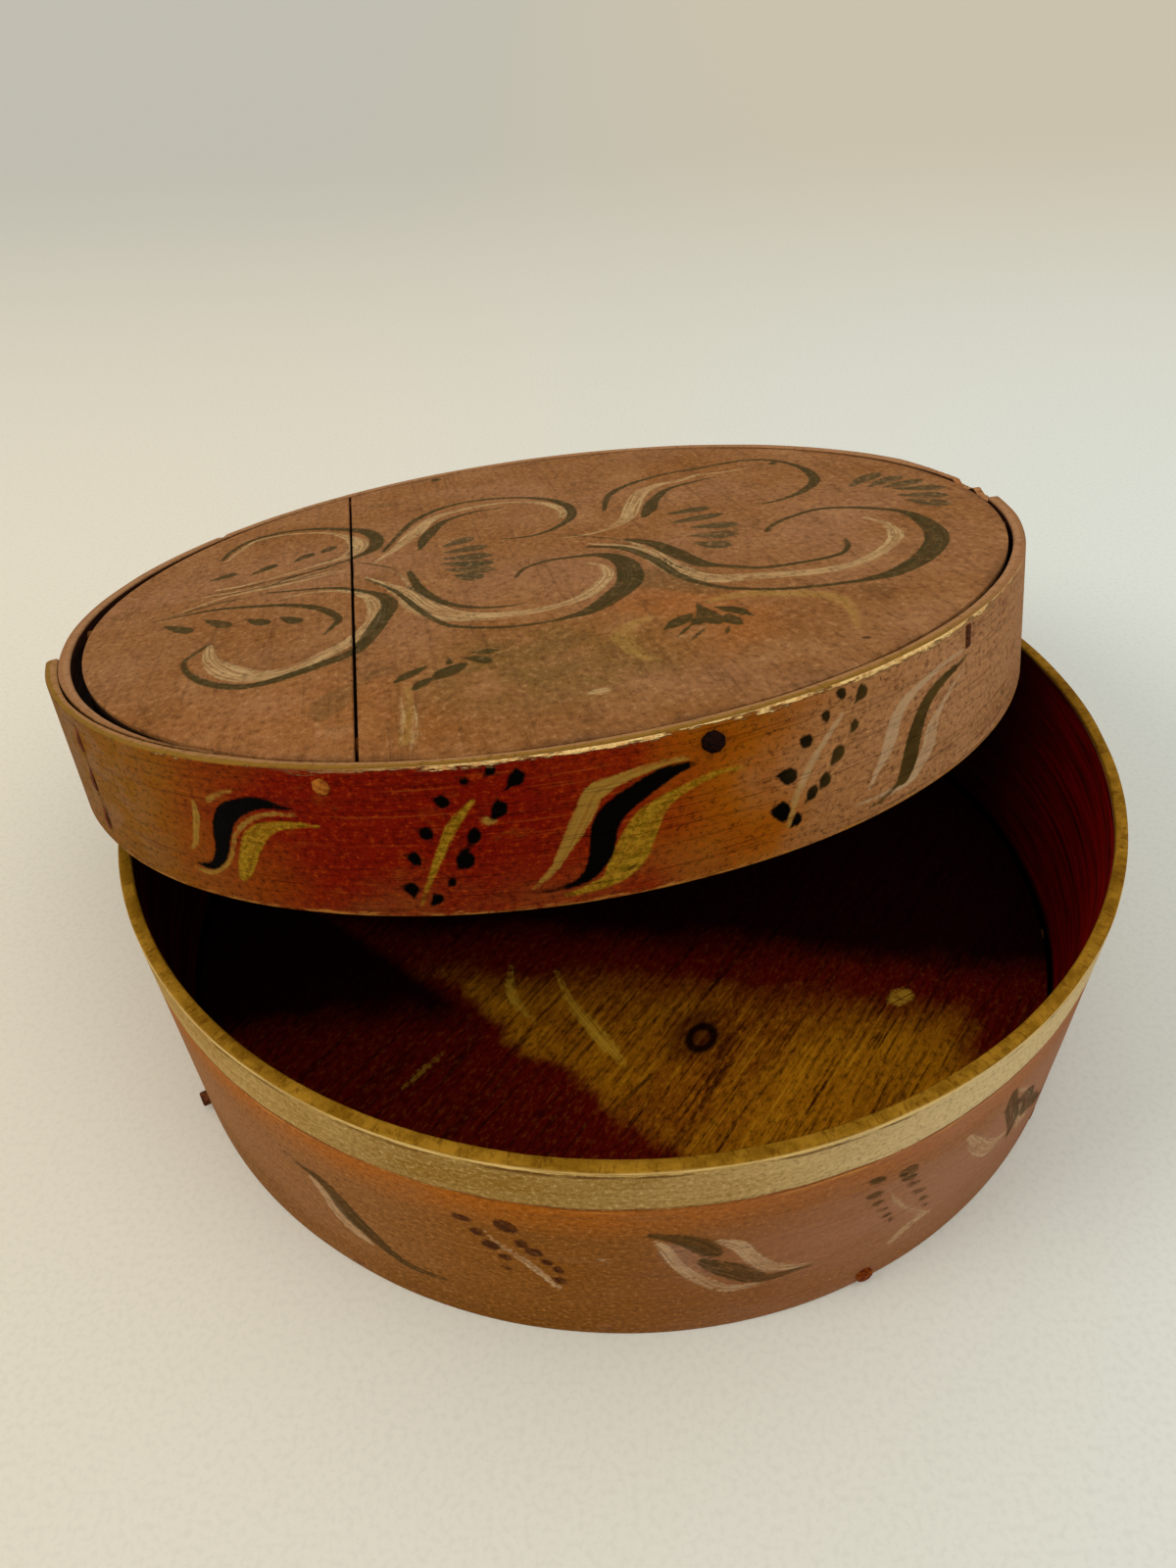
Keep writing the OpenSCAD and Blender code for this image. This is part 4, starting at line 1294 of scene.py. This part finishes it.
# %% The floor board
bm = round_board(floor_edge, FLOOR_CELLS)
bmesh.ops.translate(bm, vec=(0, 0, -0.15), verts=bm.verts[:])
thicken_board(bm, FLOOR_T, FLOOR_T - 0.15, 0.5)
grain_in_mesh = turn(FLOOR_LINES_AZ - FLOOR_GRAIN_AZ, "Z").inverted()
keep = [tuple(grain_in_mesh @ v.co) for v in bm.verts]
mesh = finish_piece(bm, "floor_board", "box", bare_floor, "box_floor", FLOOR_GRAIN_AZ, keep)
floor_layers = {
    "pale_paint": [stroke([(0, -38), (12, -46), (22, -50), (40, -57)], 4.5, 0.8),
                   stroke([(-12, -101), (-11, -92), (-10, -84)], 1.2), stroke([(97, 10), (101, 18)], 6),
                   stroke([(-14, -44), (-6, -54), (7, -59)], 3, 0.5)],
    "dark_paint": [stroke([(45, -75), (47, -64), (50, -47)], 1.4), stroke([(87, -68), (90, -51)], 1.0),
                   stroke([(64, -46), (68, -35)], 1.0), stroke([(-48, -79), (-48, -66)], 1.2)],
}
keep_paint(mesh, np.array(keep)[:, :2], floor_layers)

# %% [markdown]
# ## Driving in the pegs
#
# Pegs hold the boards in the strips. Most were cut flush and painted over, and five stand out or have lost
# their paint. One list says where each is, how thick it is and how far it stands out, and a loop makes
# them all.

# %% The pegs
UNDER_PAINT = (PEG_D, PEG_D, 0, 9)
PEGS = [("left_peg", [-150.7], "box", 1, (4.6, 4.6, 2.1, 9), brown_peg, "box_peg_left", "dark_pegs"),
        ("front_peg", [-66.6], "box", 2, (5, 5, 1.2, 8), red_peg, "box_peg_front", "painted_pegs"),
        ("pale_lid_peg", [-106], "lid", 3, (4.8, 4.6, 0.4, 7), pale_peg, "lid_peg_pale", "pale_peg"),
        ("dark_lid_peg", [-73], "lid", 4, (5.5, 5.2, 1.8, 8), dark_peg, "lid_peg_dark", "dark_pegs"),
        ("flat_lid_peg", [-42.6], "lid", 5, (2.4, 6.4, 0.2, 4), brown_peg, "lid_peg_flat", "painted_pegs"),
        ("lid_pegs_under_paint", [-8, 25, 57, 90, 124, 157, -173], "lid", 0, UNDER_PAINT,
         painted_peg, "lid_pegs", "painted_pegs"),
        ("box_pegs_under_paint", [-121, -94, -37, -8, 22, 49, 118, 147, 178], "box", 0, UNDER_PAINT,
         painted_peg, "box_pegs", "painted_pegs")]
for name, angles, body, seed, shape, material, node, slot in PEGS:
    bm = bmesh.new()
    for number, az in enumerate(angles):
        z = LID_PEGS_Z if body == "lid" else BOX_PEGS_Z
        face_r = lid_face(az) if body == "lid" else BOX_R - BOX_LEAN * (BOX_H - z) / BOX_H
        peg(bm, az, z, face_r, *shape, seed + number)
    finish_piece(bm, name, body, material, node)

# %% [markdown]
# ## Sewing the laps
#
# One strand of split root closes each lap. It could be a row of loose stitches, but it is one strand on
# the real box, and as one strand it also goes through the wood and along the inside.

# %% The lacings
lace = lacing(LID_R, LID_WALL, 0, LID_H, 0, *LID_LACES, drawn_in(LID_LAP_AZ + LACE_AZ))
finish_piece(lace, "lid_root_lacing", "lid", root, "lid_lap_lacing", LID_LAP_AZ)
lace = lacing(BOX_R, BOX_WALL, BOX_H, BOX_H, BOX_LEAN, *BOX_LACES)
finish_piece(lace, "box_root_lacing", "box", root, "box_lap_lacing", BOX_LAP_AZ)

# %% [markdown]
# ## Table and light
#
# The box stands on a pale table in soft, even light from all round. The table's colour carries painted light
# and shade: warmer at the left, where the lamp shines from, cooler at the right, and darker and greyer
# towards the back. One more soft light comes from the left at a height of 39 degrees. Its height was read
# from the shadow that the box's wall throws on the floor inside. A sun lamp with a wide angle gives that
# light evenly, near the box and far from it.

# %% Table and world
bm = bmesh.new()
bmesh.ops.create_grid(bm, x_segments=2, y_segments=2, size=TABLE_HALF)
mesh = bpy.data.meshes.new("table")
bm.to_mesh(mesh)
bm.free()
table = bpy.data.objects.new("table", mesh)
bpy.context.scene.collection.objects.link(table)
cloth = Finish("pale_table", 0.1)
where = cloth.node("ShaderNodeTexCoord", {}, {}, out="Object")
x, y, _ = cloth.parts(where)
# Painted light and shade on the table: warm and light at the left, cooler at the right, darker and greyer
# far back.
near_to_far = y.rise(0.1, 1.2)
left_to_right = x.rise(-0.3, 0.35)
near = cloth.over((218, 222, 214), (226, 218, 198), left_to_right)
far = cloth.over((200, 192, 172), (190, 188, 176), left_to_right)
weave = cloth.grown((0.0018, 0.0018, 0.0018), at=where)
cloth.colour = cloth.over(far, near, near_to_far)
cloth.coat((150, 146, 134), weave.rise(0.42, 0.7) * 0.1)
cloth.plug(cloth.shader["Base Color"], cloth.colour)
cloth.plug(cloth.shader["Roughness"], 0.9)
mesh.materials.append(cloth.material)

world = bpy.data.worlds.new("soft_room")
bpy.context.scene.world = world
world.use_nodes = True
sky = world.node_tree.nodes["Background"]
sky.inputs["Color"].default_value = (1.0, 0.985, 0.96, 1.0)
sky.inputs["Strength"].default_value = 0.71

# %% The two lamps
LAMPS = [("left_light", 196, 39, 0.8, 24, (1.0, 0.98, 0.93)),
         ("front_light", -58, 62, 0.62, 60, (0.97, 0.99, 1.0))]
for name, az, up, strength, width, colour in LAMPS:
    lamp = bpy.data.objects.new(name, bpy.data.lights.new(name, "SUN"))
    lamp.data.energy = strength
    lamp.data.angle = radians(width)
    lamp.data.color = colour
    lamp.rotation_euler = (0, radians(90 - up), radians(az))
    bpy.context.scene.collection.objects.link(lamp)
    print(name, "comes from azimuth", az, "and", up, "degrees up")
bpy.context.scene.view_settings.view_transform = "Standard"
